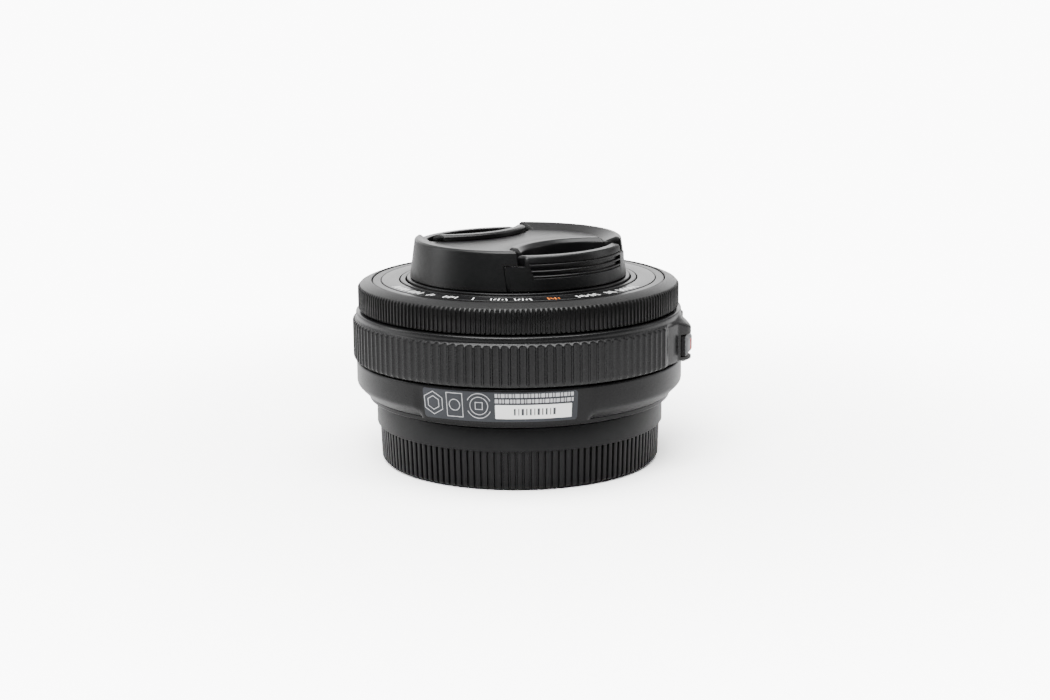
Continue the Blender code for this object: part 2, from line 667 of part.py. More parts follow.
def iris_motor():
    reach = IRIS_MODULE * (IRIS_TEETH + IRIS_PINION_TEETH) / 2
    spot = (*polar(reach, IRIS_MOTOR_ANGLE), 0)
    can = [(0, 16.9), (2.0, 16.9), (2.1, 17.1), (2.1, 21.0), (0.6, 21.0), (0.6, 20.0), (0, 20.0)]
    place(turned(can, 20), "iris_motor", "steel", spot)
    facing = IRIS_MOTOR_ANGLE + 180.0 + 180.0 / IRIS_PINION_TEETH
    line = tooth_line(IRIS_PINION_TEETH, IRIS_MODULE, facing)
    low, high = IRIS_RING_Z
    pinion = place(prism(line, low, high), "iris_pinion", "brass", spot, smooth=False)
    join(pinion, prism(circle(0.4, 12), 20.3, low + 0.3), "iris_pinion_shaft", spot)


# ---------------------------------------------------------------- front cap
def band(outer, inner, half, steps=12):
    """Part of a ring about the origin, on the +X side, between y = -half and y = half."""
    out_end = math.degrees(math.asin(half / outer))
    in_end = math.degrees(math.asin(half / inner))
    return arc(outer, -out_end, out_end, steps) + arc(inner, in_end, -in_end, steps)


def scoop_band(near, far, half, steps=12):
    """Part of a ring about the scoop's centre, between two radii."""
    centre = (SCOOP_CENTRE, 0.0)
    near_end = math.degrees(math.asin(half / near))
    far_end = math.degrees(math.asin(half / far))
    return (arc(near, 180 - near_end, 180 + near_end, steps, centre)
            + arc(far, 180 + far_end, 180 - far_end, steps, centre))


def front_cap_body():
    low, high = CAP_PLATE_Z
    section = [(0, low), (17.2, low), (17.9, low - 0.7), (17.9, 33.3), (19.05, 33.3),
               (19.05, CAP_Z), (20.15, CAP_Z), (19.2, CAP_TOP - 0.35), (18.85, CAP_TOP),
               (18.3, CAP_TOP), (16.2, high), (0, high)]
    cap = place(turned(section), "front_cap_body", "cap_plastic")
    rib = box((-0.6, -7.0, 36.6), (0.6, 7.0, low + 0.3))
    join(cap, rib, "spring_rib", turn=LATCH_ANGLE)
    for side, turn in (("right", LATCH_ANGLE), ("left", LATCH_ANGLE + 180.0)):
        skirt = box((6.0, -SKIRT_HALF, 32.0), (24.0, SKIRT_HALF, 39.2))
        cut(cap, skirt, f"skirt_{side}", turn=turn)
        edge_r = SCOOP_R + 2.9
        end = math.degrees(math.asin(RECESS_HALF / edge_r))
        recess = (arc(edge_r, 180 + end, 180 - end, 16, (SCOOP_CENTRE, 0.0))
                  + [(26.0, RECESS_HALF), (26.0, -RECESS_HALF)])
        cut(cap, prism(recess, 38.6, 45.0), f"recess_{side}", turn=turn)


def front_cap_latches():
    for side, turn in (("right", LATCH_ANGLE), ("left", LATCH_ANGLE + 180.0)):
        name = f"front_cap_latch_{side}"
        latch = place(loft(band(20.1, 18.4, LATCH_HALF), band(19.55, 18.3, LATCH_HALF),
                           CAP_Z + 0.05, 39.05), name, "cap_plastic", turn=turn)
        grip = loft(band(19.5, 17.6, GRIP_HALF), band(18.8, 17.5, GRIP_HALF), 38.6, 40.85)
        join(latch, grip, f"grip_{side}", turn=turn)
        floor = (arc(SCOOP_R + 0.7, 180 - 41, 180 + 41, 14, (SCOOP_CENTRE, 0.0))
                 + arc(18.9, -31, 31, 14))
        join(latch, prism(floor, 35.9, 36.7), f"tray_{side}", turn=turn)
        join(latch, prism(scoop_band(SCOOP_R, SCOOP_R + 1.3, LIP_HALF), 35.9, 41.5),
             f"lip_wall_{side}", turn=turn)
        join(latch, prism(scoop_band(SCOOP_R, SCOOP_R + 2.5, LIP_HALF), 40.9, CAP_TOP - 0.05),
             f"lip_{side}", turn=turn)
        join(latch, prism(band(19.1, 17.95, 9.0), 33.45, 35.2), f"claw_{side}", turn=turn)


def front_cap_inside():
    for side, turn in (("right", LATCH_ANGLE), ("left", LATCH_ANGLE + 180.0)):
        start, end = polar(0.85, turn), polar(7.35, turn)
        coil(f"front_cap_spring_{side}", "steel", (*start, 38.0), (*end, 38.0), 1.0, 0.15, 5)
    flat = math.degrees(math.acos(RETAINER_HALF / RETAINER_R))
    outline = (arc(RETAINER_R, flat, 180 - flat, 14)
               + arc(RETAINER_R, 180 + flat, 360 - flat, 14))
    place(prism(outline, 33.5, 34.3), "front_cap_retainer", "cap_plastic", turn=LATCH_ANGLE)


def build():
    rear_cap()
    mount_ring()
    mount_screws()
    mount_gasket()
    contact_block()
    rear_baffle()
    rear_barrel()
    info_label()
    main_board()
    aperture_ring()
    lock_button()
    click_stop()
    front_barrel()
    name_ring()
    seal_ring()
    focus_ring()
    focus_encoder_ring()
    focus_sensor()
    cam_ring()
    guide_barrel()
    cam_followers()
    focus_gears()
    inner_barrel()
    front_bezel()
    optical_cells()
    optics()
    iris_housing()
    iris_ring()
    iris_blades()
    iris_motor()
    front_cap_body()
    front_cap_latches()
    front_cap_inside()


for old in list(bpy.data.objects):
    bpy.data.objects.remove(old, do_unlink=True)
MATERIALS = {name: material(name, *values) for name, values in FINISHES.items()}
build()
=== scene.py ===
"""Looks of the pancake prime lens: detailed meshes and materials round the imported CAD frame.

Lengths are millimetres in the frame's axes, and MM turns them into metres. Angles are degrees round
the optical axis Z: the label faces -90, and the lock button's angle is read from the frame.
"""
import json
import math

import bmesh
import bpy
from mathutils import Matrix, Vector


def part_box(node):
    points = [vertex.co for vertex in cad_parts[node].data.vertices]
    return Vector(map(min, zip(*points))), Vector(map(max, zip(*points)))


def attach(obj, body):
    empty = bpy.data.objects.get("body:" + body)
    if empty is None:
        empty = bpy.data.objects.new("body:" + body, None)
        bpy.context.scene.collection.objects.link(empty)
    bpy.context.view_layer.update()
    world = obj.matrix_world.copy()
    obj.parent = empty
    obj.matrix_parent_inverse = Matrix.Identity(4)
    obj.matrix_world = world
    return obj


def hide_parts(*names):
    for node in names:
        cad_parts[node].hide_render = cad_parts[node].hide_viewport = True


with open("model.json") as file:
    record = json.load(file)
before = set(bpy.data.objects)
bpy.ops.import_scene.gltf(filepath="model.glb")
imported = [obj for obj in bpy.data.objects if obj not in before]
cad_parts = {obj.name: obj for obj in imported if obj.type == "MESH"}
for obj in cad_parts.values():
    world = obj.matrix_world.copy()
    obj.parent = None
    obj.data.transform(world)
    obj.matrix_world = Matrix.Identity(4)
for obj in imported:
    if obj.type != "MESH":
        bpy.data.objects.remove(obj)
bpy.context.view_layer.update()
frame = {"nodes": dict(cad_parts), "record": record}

MM = 0.001


def low_high(node):
    """Lowest and highest corner of a CAD node, in millimetres."""
    low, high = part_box(node)
    return low / MM, high / MM


def top_of(node):
    return low_high(node)[1].z


def bottom_of(node):
    return low_high(node)[0].z


# ---------------------------------------------------------------- sizes read from the frame
CAP_FLOOR_TOP = 1.8
REAR_CAP_TOP = top_of("rear_cap")
BARREL_Z = (bottom_of("rear_barrel"), 19.45)
FOCUS_Z = (bottom_of("focus_ring"), top_of("focus_ring"))
APERTURE_DROP = 9.1      # from the focus ring's foot down to the aperture ring's foot
APERTURE_Z = (FOCUS_Z[0] - APERTURE_DROP, top_of("aperture_ring"))
BAND_TOP = top_of("front_barrel")
NAME_Z = (bottom_of("name_ring"), top_of("name_ring"))
FRONT_Z = top_of("inner_barrel")
CAP_Z = 34.65
CAP_TOP = top_of("front_cap_body")
BUTTON_LOW, BUTTON_HIGH = low_high("lock_button")
BUTTON_ANGLE = math.degrees(math.atan2(BUTTON_LOW.y + BUTTON_HIGH.y, BUTTON_LOW.x + BUTTON_HIGH.x))

# ---------------------------------------------------------------- sizes of the details
SMOOTH_COLUMNS = 240     # columns of a plain turned ring

REAR_CAP_RIBS = 132
REAR_RIB_DEPTH = 0.45
REAR_RIB_TOP = 7.35
REAR_CREST = (26.1, 26.35)
REAR_BAND_R = 26.85
REAR_LUG_ANGLES = (30.0, 150.0, 270.0)
REAR_LUG_HALF = 26.0     # half of one bayonet lug, degrees
REAR_WEB_PITCH = 60      # between the floor's stiffening webs, degrees
REAR_WEB_HALF = 0.4      # half of a web's width

APERTURE_R = 31.0
APERTURE_RIBS = 124
APERTURE_FLUTE_DEPTH = 0.42
APERTURE_BAND_R = 30.35
SMOOTH_HALF = 15.4       # half the un-ribbed stretch round the lock housing, degrees
HOUSING_HALF = 6.6       # half the housing's span, degrees
HOUSING_RISE = 1.6       # how far the housing stands out of the ring
LEAN_START = 4.6         # where the smooth stretch starts to lean in, degrees from the button
LEAN_DEPTH = 0.85
POCKET_HALF = 2.95
POCKET_DEPTH_R = 29.6
POCKET_GAP = 0.25        # above and below the button
POCKET_STEP = 1.3        # from the pocket's edges to the rows of the skin between them
POCKET_ROWS = (8, 9, 10, 11)   # points of aperture_line that frame the pocket

BUTTON_HALF = 2.55
BUTTON_BACK_R = 31.25    # clear of the spring when pressed
BUTTON_BODY_R = 31.95
BUTTON_FACE_R = 32.6
BUTTON_CROWN = 0.2       # how much the face falls from its middle to its sides

FOCUS_R = 29.9
FOCUS_RIBS = 210
FOCUS_GROOVE_DEPTH = 0.42

BARREL_R = 30.45
PAD = (-126.0, -65.0)    # ends of the raised pad under the label, degrees
PAD_BLEND = 3.2

LABEL = (-123.6, -70.3)
LABEL_Z = (13.6, 19.0)
LABEL_R = 30.47
PAD_TAPER = 0.13         # how much the pad's radius falls per millimetre of height

LATCH_ANGLE = -50.5      # direction in which the right latch is pinched
SCOOP_CENTRE = 22.8      # centre and radius of the arc behind each finger recess
SCOOP_R = 13.9
RECESS_HALF = 12.3       # half widths across the latch: recess, body wall below it, latch
SKIRT_HALF = 14.25
LATCH_HALF = 14.1
NOTCH_Z = 39.2
PLATE_Z = (39.5, 40.7)
PLATE_R = 17.0
RETAINER_R = 17.7
RETAINER_HALF = 13.8
RETAINER_Z = (33.5, 34.3)

GRIP_HALF = 11.25
GRIP_TOP = 40.85
GRIP_ROUND = 0.55        # radius of the grip's upper corners
SHELF_Z = 39.05
LIP_HALF = 10.0
CLAW_HALF = 9.0
TRAY_Z = (35.9, 36.7)


# ---------------------------------------------------------------- meshes
def polar(radius, degrees, centre=0.0):
    angle = math.radians(degrees)
    return centre + radius * math.cos(angle), radius * math.sin(angle)


def turned_by(x, y, degrees):
    c, s = math.cos(math.radians(degrees)), math.sin(math.radians(degrees))
    return x * c - y * s, x * s + y * c


def piece(name, verts, faces, finish, body, slot, replaces=(), turn=0.0, sharp=32.0):
    """A finished piece from millimetre vertices, riding on a CAD body."""
    if turn:
        verts = [(*turned_by(x, y, turn), z) for x, y, z in verts]
    mesh = bpy.data.meshes.new(name)
    mesh.from_pydata([(x * MM, y * MM, z * MM) for x, y, z in verts], [], faces)
    bm = bmesh.new()
    bm.from_mesh(mesh)
    bmesh.ops.remove_doubles(bm, verts=bm.verts, dist=0.0005 * MM)
    bmesh.ops.recalc_face_normals(bm, faces=bm.faces)
    bm.to_mesh(mesh)
    bm.free()
    mesh.shade_smooth()
    mesh.set_sharp_from_angle(angle=math.radians(sharp))
    mesh.materials.append(MATERIALS[finish])
    made = bpy.data.objects.new(name, mesh)
    bpy.context.scene.collection.objects.link(made)
    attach(made, body)
    if replaces:
        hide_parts(*replaces)
    return made


def eased(corners, steps=4):
    """Closed outline from (r, z) and (r, z, radius) corners; a radius rounds its corner."""
    line = []
    for i, corner in enumerate(corners):
        here = Vector(corner[:2])
        if len(corner) == 2 or not corner[2]:
            line.append(tuple(here))
            continue
        back = Vector(corners[i - 1][:2]) - here
        ahead = Vector(corners[(i + 1) % len(corners)][:2]) - here
        half = back.angle(ahead) / 2
        reach = min(corner[2] / math.tan(half), 0.45 * back.length, 0.45 * ahead.length)
        a, b = here + back.normalized() * reach, here + ahead.normalized() * reach
        for k in range(steps + 1):
            t = k / steps
            line.append(tuple(a * (1 - t) ** 2 + here * 2 * t * (1 - t) + b * t * t))
    return line


def inset(line, amount):
    """A closed outline moved inwards by a small amount."""
    area = sum(line[i - 1][0] * p[1] - p[0] * line[i - 1][1] for i, p in enumerate(line))
    side = 1 if area > 0 else -1
    moved = []
    for i, p in enumerate(line):
        here = Vector(p)
        back = (here - Vector(line[i - 1])).normalized()
        ahead = (Vector(line[(i + 1) % len(line)]) - here).normalized()
        normal = Vector((-back.y - ahead.y, back.x + ahead.x)) * side
        if normal.length < 1e-6:
            moved.append(tuple(here))
            continue
        normal.normalize()
        share = max(0.5, abs(normal.dot(Vector((-back.y, back.x)))))
        moved.append(tuple(here + normal * amount / share))
    return moved


def skin(stations, closed):
    """Vertices and faces through stations, lists of (x, y, z) with the same length."""
    rows, count = len(stations[0]), len(stations)
    verts = [v for station in stations for v in station]
    faces = []
    for c in range(count if closed else count - 1):
        a, b = c * rows, (c + 1) % count * rows
        for r in range(rows):
            s = (r + 1) % rows
            faces.append((a + r, b + r, b + s, a + s))
    if not closed:
        faces += [tuple(range(rows)), tuple(range((count - 1) * rows, count * rows))]
    return verts, faces


def lathe(outline, columns=SMOOTH_COLUMNS):
    """A full turn of an outline; `columns` is a count, or a list of (angle, share) for a
    function outline(angle, share)."""
    if isinstance(columns, int):
        columns = [(360.0 * i / columns, 0.0) for i in range(columns)]
    stations = []
    for angle, share in columns:
        line = outline(angle, share) if callable(outline) else outline
        stations.append([(*polar(r, angle), z) for r, z in line])
    return skin(stations, True)


def swept(line, start, end, count, rim=0.12, centre=0.0):
    """An outline carried about a centre on the X axis between two end functions of the radius,
    each giving degrees, with both ends rounded by `rim`."""
    stations = []
    ease = [(0.0, rim), (0.3 * rim, 0.3 * rim), (rim, 0.0)] if rim else [(0.0, 0.0)]
    path = [(0.0, d, i) for d, i in ease]
    path += [(k / count, rim * (1 - 2 * k / count), 0.0) for k in range(1, count)]
    path += [(1.0, -d, i) for d, i in reversed(ease)]
    for t, shift, shrink in path:
        station = []
        for r, z in (inset(line, shrink) if shrink else line):
            a = start(r, z) + (end(r, z) - start(r, z)) * t + math.degrees(shift / r)
            station.append((*polar(r, a, centre), z))
        stations.append(station)
    return skin(stations, False)


def merged(*parts):
    verts, faces = [], []
    for more_verts, more_faces in parts:
        base = len(verts)
        verts += more_verts
        faces += [tuple(base + i for i in face) for face in more_faces]
    return verts, faces


def spun(part, degrees):
    verts, faces = part
    return [(*turned_by(x, y, degrees), z) for x, y, z in verts], faces


def ribs(count, shape, skip=None):
    """(angle, share) columns of a ribbed ring; shape lists (phase, groove share) of one pitch."""
    columns = []
    for i in range(count):
        for phase, share in shape:
            angle = 360.0 * (i + phase) / count
            if skip is None or not skip(angle):
                columns.append((angle, share))
    return columns


def offset(angle, middle):
    """Signed difference of two angles, in -180..180 degrees."""
    return (angle - middle + 180.0) % 360.0 - 180.0


def step(x, low, high):
    t = min(1.0, max(0.0, (x - low) / (high - low)))
    return t * t * (3 - 2 * t)


# ---------------------------------------------------------------- printed marks
def mark(pairs, at, closed=False):
    """A thin closed mark through pairs of points, which `at(s, t, height)` puts on a surface."""
    stations = []
    for (s0, t0), (s1, t1) in pairs:
        stations.append([at(s0, t0, 0.0), at(s0, t0, 1.0), at(s1, t1, 1.0), at(s1, t1, 0.0)])
    return skin(stations, closed)


def bar(s, t, width, height, at, round_by=0.0, steps=1, corner=5):
    """A rectangle centred on (s, t), with corners rounded by `round_by`."""
    half, tall = width / 2, height / 2
    turns = [math.pi / 2 * i / corner for i in range(corner + 1 if round_by else 1)]
    edge = [(half - round_by + round_by * math.cos(a), tall - round_by + round_by * math.sin(a))
            for a in turns]
    left = [((s - x, t - y), (s - x, t + y)) for x, y in edge]
    right = [((s + x, t - y), (s + x, t + y)) for x, y in reversed(edge)]
    inner = edge[-1][0]
    across = [s + inner * (2 * k / steps - 1) for k in range(1, steps)]
    middle = [((x, t - tall), (x, t + tall)) for x in across]
    return mark(left + middle + right, at)


def hoop(s, t, radius, line, at, sides=48, start=0.0, turn=360.0):
    """A ring or an arc of a given line width."""
    whole = turn == 360.0
    pairs = []
    for i in range(sides if whole else sides + 1):
        a = math.radians(start + turn * i / sides)
        pairs.append(tuple((s + r * math.cos(a), t + r * math.sin(a))
                           for r in (radius - line / 2, radius + line / 2)))
    return mark(pairs, at, whole)


def polygon_hoop(s, t, radius, sides, line, at, start=90.0):
    """The outline of a regular polygon."""
    wide = line / math.cos(math.pi / sides)
    pairs = []
    for i in range(sides):
        a = math.radians(start + 360.0 * i / sides)
        pairs.append(tuple((s + r * math.cos(a), t + r * math.sin(a))
                           for r in (radius - wide / 2, radius + wide / 2)))
    return mark(pairs, at, True)


def on_barrel(base, thick):
    """Places (degrees from the label's middle as arc length, height) on the label."""
    middle = sum(LABEL) / 2

    def at(s, t, up):
        r = base + thick * up - PAD_TAPER * (LABEL_Z[1] - t)
        return (*polar(r, middle + math.degrees(s / LABEL_R)), t)
    return at


def on_name_ring(thick):
    """Places (degrees, radius) on the name ring's top."""
    def at(s, t, up):
        return (*polar(t, s), NAME_Z[1] + thick * up)
    return at


# ---------------------------------------------------------------- materials
def new_material(name):
    made = bpy.data.materials.new(name)
    made.use_nodes = True
    tree = made.node_tree
    return made, tree, tree.nodes["Principled BSDF"]


def grain(tree, scale, detail=2.0):
    """Noise in object space; scale is in features per millimetre."""
    where = tree.nodes.new("ShaderNodeTexCoord")
    noise = tree.nodes.new("ShaderNodeTexNoise")
    noise.inputs["Scale"].default_value = scale / MM
    noise.inputs["Detail"].default_value = detail
    tree.links.new(where.outputs["Object"], noise.inputs["Vector"])
    return noise


def spread(tree, value, low, high, start=0.3, end=0.7):
    """Maps a 0..1 value between two numbers."""
    node = tree.nodes.new("ShaderNodeMapRange")
    node.inputs["From Min"].default_value = start
    node.inputs["From Max"].default_value = end
    node.inputs["To Min"].default_value = low
    node.inputs["To Max"].default_value = high
    tree.links.new(value, node.inputs["Value"])
    return node.outputs["Result"]


def tint(tree, value, dark, light):
    ramp = tree.nodes.new("ShaderNodeValToRGB")
    ramp.color_ramp.elements[0].position = 0.3
    ramp.color_ramp.elements[0].color = (*dark, 1.0)
    ramp.color_ramp.elements[1].position = 0.7
    ramp.color_ramp.elements[1].color = (*light, 1.0)
    tree.links.new(value, ramp.inputs["Fac"])
    return ramp.outputs["Color"]


def bump(tree, shader, value, height, strength=1.0):
    """Bump of a real height in millimetres."""
    node = tree.nodes.new("ShaderNodeBump")
    node.inputs["Strength"].default_value = strength
    node.inputs["Distance"].default_value = height * MM
    tree.links.new(value, node.inputs["Height"])
    tree.links.new(node.outputs["Normal"], shader.inputs["Normal"])


def surface(name, dark, light, rough, metallic=0.0, grains=6.0, height=0.006, specular=0.3,
            coat=0.0):
    """A finish with fine grain: colour, roughness and bump all vary a little."""
    made, tree, shader = new_material(name)
    fine = grain(tree, grains)
    broad = grain(tree, 0.25, 3.0)
    tree.links.new(tint(tree, broad.outputs["Fac"], dark, light), shader.inputs["Base Color"])
    tree.links.new(spread(tree, fine.outputs["Fac"], *rough), shader.inputs["Roughness"])
    shader.inputs["Metallic"].default_value = metallic
    shader.inputs["Specular IOR Level"].default_value = specular
    shader.inputs["Coat Weight"].default_value = coat
    bump(tree, shader, fine.outputs["Fac"], height)
    return made


def turned_metal(name, dark, light, rough, pitch, metallic=1.0, height=0.004):
    """Metal with fine lathe marks: bands that follow height and radius."""
    made, tree, shader = new_material(name)
    where = tree.nodes.new("ShaderNodeTexCoord")
    split = tree.nodes.new("ShaderNodeSeparateXYZ")
    tree.links.new(where.outputs["Object"], split.inputs["Vector"])
    flat = tree.nodes.new("ShaderNodeCombineXYZ")
    tree.links.new(split.outputs["X"], flat.inputs["X"])
    tree.links.new(split.outputs["Y"], flat.inputs["Y"])
    radius = tree.nodes.new("ShaderNodeVectorMath")
    radius.operation = "LENGTH"
    tree.links.new(flat.outputs["Vector"], radius.inputs[0])
    lines = tree.nodes.new("ShaderNodeCombineXYZ")
    tree.links.new(radius.outputs["Value"], lines.inputs["X"])
    tree.links.new(split.outputs["Z"], lines.inputs["Z"])
    noise = tree.nodes.new("ShaderNodeTexNoise")
    noise.inputs["Scale"].default_value = 1.0 / (pitch * MM)
    noise.inputs["Detail"].default_value = 1.0
    tree.links.new(lines.outputs["Vector"], noise.inputs["Vector"])
    tree.links.new(tint(tree, noise.outputs["Fac"], dark, light), shader.inputs["Base Color"])
    tree.links.new(spread(tree, noise.outputs["Fac"], *rough), shader.inputs["Roughness"])
    shader.inputs["Metallic"].default_value = metallic
    bump(tree, shader, noise.outputs["Fac"], height)
    return made


def glass(name, colour):
    """Coated optical glass, with a faint smear in its gloss."""
    made, tree, shader = new_material(name)
    shader.inputs["Base Color"].default_value = (*colour, 1.0)
    shader.inputs["Transmission Weight"].default_value = 1.0
    shader.inputs["IOR"].default_value = 1.6
    smear = grain(tree, 0.4, 3.0)
    tree.links.new(spread(tree, smear.outputs["Fac"], 0.0, 0.03), shader.inputs["Roughness"])
    shader.inputs["Coat Weight"].default_value = 0.4
    shader.inputs["Coat Tint"].default_value = (0.75, 0.85, 1.0, 1.0)
    return made


BLACK = (0.0025, 0.0025, 0.0027)

MATERIALS = {
    "cap_plastic": surface("cap_plastic", BLACK, (0.0035, 0.0035, 0.0037), (0.28, 0.4), height=0.008),
    "rear_cap_plastic": surface("rear_cap_plastic", (0.003, 0.003, 0.0033), (0.005, 0.005, 0.0053),
                                (0.32, 0.46), height=0.01, specular=0.2),
    "barrel_black": surface("barrel_black", (0.003, 0.003, 0.0032), (0.0045, 0.0045, 0.0048),
                            (0.24, 0.36), grains=9.0, height=0.004, specular=0.2),
    "ring_black": surface("ring_black", (0.004, 0.004, 0.0043), (0.006, 0.006, 0.0063), (0.22, 0.34),
                          grains=8.0, height=0.006),
    "focus_black": surface("focus_black", (0.003, 0.003, 0.003), (0.005, 0.005, 0.005),
                           (0.26, 0.42), grains=5.0, height=0.02),
    "inner_black": surface("inner_black", BLACK, (0.011, 0.011, 0.011), (0.6, 0.8)),
    "button_grey": surface("button_grey", (0.1, 0.103, 0.106), (0.14, 0.143, 0.146), (0.3, 0.42),
                           metallic=0.3, grains=10.0, height=0.004),
    "red_paint": surface("red_paint", (0.75, 0.03, 0.02), (0.85, 0.05, 0.035), (0.4, 0.5)),
    "label": surface("label", (0.02, 0.022, 0.026), (0.024, 0.026, 0.031), (0.35, 0.45),
                     grains=4.0, height=0.003),
    "print_white": surface("print_white", (0.84, 0.84, 0.83), (0.88, 0.88, 0.87), (0.45, 0.55)),
    "print_grey": surface("print_grey", (0.4, 0.4, 0.41), (0.47, 0.47, 0.48), (0.45, 0.55)),
    "print_ink": surface("print_ink", (0.03, 0.03, 0.035), (0.05, 0.05, 0.055), (0.45, 0.55)),
    "print_orange": surface("print_orange", (0.7, 0.17, 0.02), (0.85, 0.24, 0.04), (0.45, 0.55)),
    "mount_metal": turned_metal("mount_metal", (0.55, 0.55, 0.56), (0.72, 0.72, 0.73),
                                (0.18, 0.3), 0.08),
    "steel": surface("steel", (0.45, 0.45, 0.46), (0.6, 0.6, 0.61), (0.22, 0.35), metallic=1.0,
                     grains=12.0, height=0.002),
    "blade_black": surface("blade_black", (0.03, 0.03, 0.033), (0.05, 0.05, 0.055), (0.35, 0.5),
                           metallic=0.6, grains=14.0, height=0.002),
    "brass": turned_metal("brass", (0.55, 0.36, 0.13), (0.7, 0.48, 0.2), (0.22, 0.36), 0.1),
    "aluminium": turned_metal("aluminium", (0.42, 0.42, 0.44), (0.56, 0.56, 0.58), (0.3, 0.45), 0.1),
    "rubber": surface("rubber", (0.012, 0.012, 0.012), (0.02, 0.02, 0.02), (0.65, 0.85)),
    "glass": glass("glass", (0.9, 0.95, 0.97)),
    "board": surface("board", (0.01, 0.1, 0.04), (0.02, 0.16, 0.07), (0.35, 0.5)),
    "gold": surface("gold", (0.7, 0.46, 0.16), (0.83, 0.6, 0.26), (0.18, 0.3), metallic=1.0),
    "gear_plastic": surface("gear_plastic", (0.55, 0.53, 0.47), (0.66, 0.64, 0.58), (0.4, 0.55)),
}


# ---------------------------------------------------------------- rear cap, mount and barrel
REAR_RIB = [(-0.29, 0.1), (-0.2, 0.0), (0.2, 0.0), (0.29, 0.1), (0.34, 1.0), (0.5, 0.9), (0.66, 1.0)]


def rear_cap():
    """Moulded cap: ribs that run down over the bottom chamfer, and a plain band above them."""
    low_r, high_r = REAR_CREST
    foot = low_r - 0.8

    def outline(_, share):
        depth = REAR_RIB_DEPTH * share
        run_out = low_r - depth - foot
        return [(0.0, 0.0), (foot - 0.6, 0.0), (foot - 0.1, 0.06), (foot, 0.12),
                (low_r - depth - 0.06, run_out - 0.05), (low_r - depth, run_out + 0.1),
                (high_r - depth, REAR_RIB_TOP - 0.08), (high_r - depth * 0.7, REAR_RIB_TOP),
                (REAR_BAND_R - 0.12, REAR_RIB_TOP + 0.02), (REAR_BAND_R, REAR_RIB_TOP + 0.15),
                (REAR_BAND_R, REAR_CAP_TOP - 0.18), (REAR_BAND_R - 0.05, REAR_CAP_TOP - 0.05),
                (REAR_BAND_R - 0.18, REAR_CAP_TOP), (25.35, REAR_CAP_TOP),
                (25.2, REAR_CAP_TOP - 0.15), (25.2, CAP_FLOOR_TOP + 0.5),
                (24.8, CAP_FLOOR_TOP), (0.0, CAP_FLOOR_TOP)]
    shell = lathe(outline, ribs(REAR_CAP_RIBS, REAR_RIB))
    lug = eased([(20.85, 10.85, 0.1), (25.6, 10.85), (25.6, 11.6), (20.85, 11.6, 0.1)])
    lugs = [swept(lug, lambda r, z, a=a: a - REAR_LUG_HALF, lambda r, z, a=a: a + REAR_LUG_HALF, 24)
            for a in REAR_LUG_ANGLES]
    web = [swept([(0.6, 1.7), (23.9, 1.7), (23.9, 2.15), (0.6, 2.15)],
                 lambda r, z, a=a: a - math.degrees(REAR_WEB_HALF / r),
                 lambda r, z, a=a: a + math.degrees(REAR_WEB_HALF / r), 2, rim=0.0)
           for a in range(0, 360, REAR_WEB_PITCH)]
    piece("rear_cap_shell", *merged(shell, *lugs, *web), "rear_cap_plastic", "rear_cap",
          "cap_plastic", ["rear_cap"])


def mount():
    """Rubber seal round the mount."""
    low, high = low_high("mount_gasket")
    line = eased([(26.75, low.z), (27.5, low.z, 0.2), (27.55, high.z, 0.1), (26.75, high.z)])
    piece("mount_seal", *lathe(line), "rubber", "lens_body", "rubber", ["mount_gasket"])


def pad_share(angle):
    """1 on the raised pad that carries the label, 0 off it, with soft ends."""
    start, end = PAD
    middle, half = (start + end) / 2, (end - start) / 2
    away = abs(offset(angle, middle)) - half
    return 1.0 - step(away, -PAD_BLEND / 2, PAD_BLEND / 2)


def rear_barrel():
    """Stepped barrel with a chamfer, which the label's pad fills in."""
    low, top = BARREL_Z

    def outline(angle, _):
        pad = pad_share(angle)
        taper = [(28.5, 13.15), (28.62, 13.25), (29.2, 13.82), (29.9, 14.52), (30.2, 14.86),
                 (30.37, 15.15), (BARREL_R, 15.55), (BARREL_R, 17.2), (BARREL_R, LABEL_Z[1])]
        wall = []
        for r, z in taper:
            face = BARREL_R - PAD_TAPER * (LABEL_Z[1] - z)
            wall.append((r + (face - r) * pad, z))
        return ([(27.75, low), (28.1, low), (28.2, low + 0.1), (28.2, 12.92), (28.12, 13.0),
                 (28.12, 13.1), (28.3, 13.15)] + wall
                + [(BARREL_R, top - 0.25), (BARREL_R - 0.06, top - 0.1), (BARREL_R - 0.2, top),
                   (28.55, top), (28.55, 22.0), (28.05, 22.0), (28.05, 15.0), (20.9, 15.0),
                   (20.9, 13.9), (27.75, 13.9)])
    piece("rear_barrel_shell", *lathe(outline, [(0.75 * i, 0.0) for i in range(480)]),
          "barrel_black", "lens_body", "barrel_black", ["rear_barrel"])


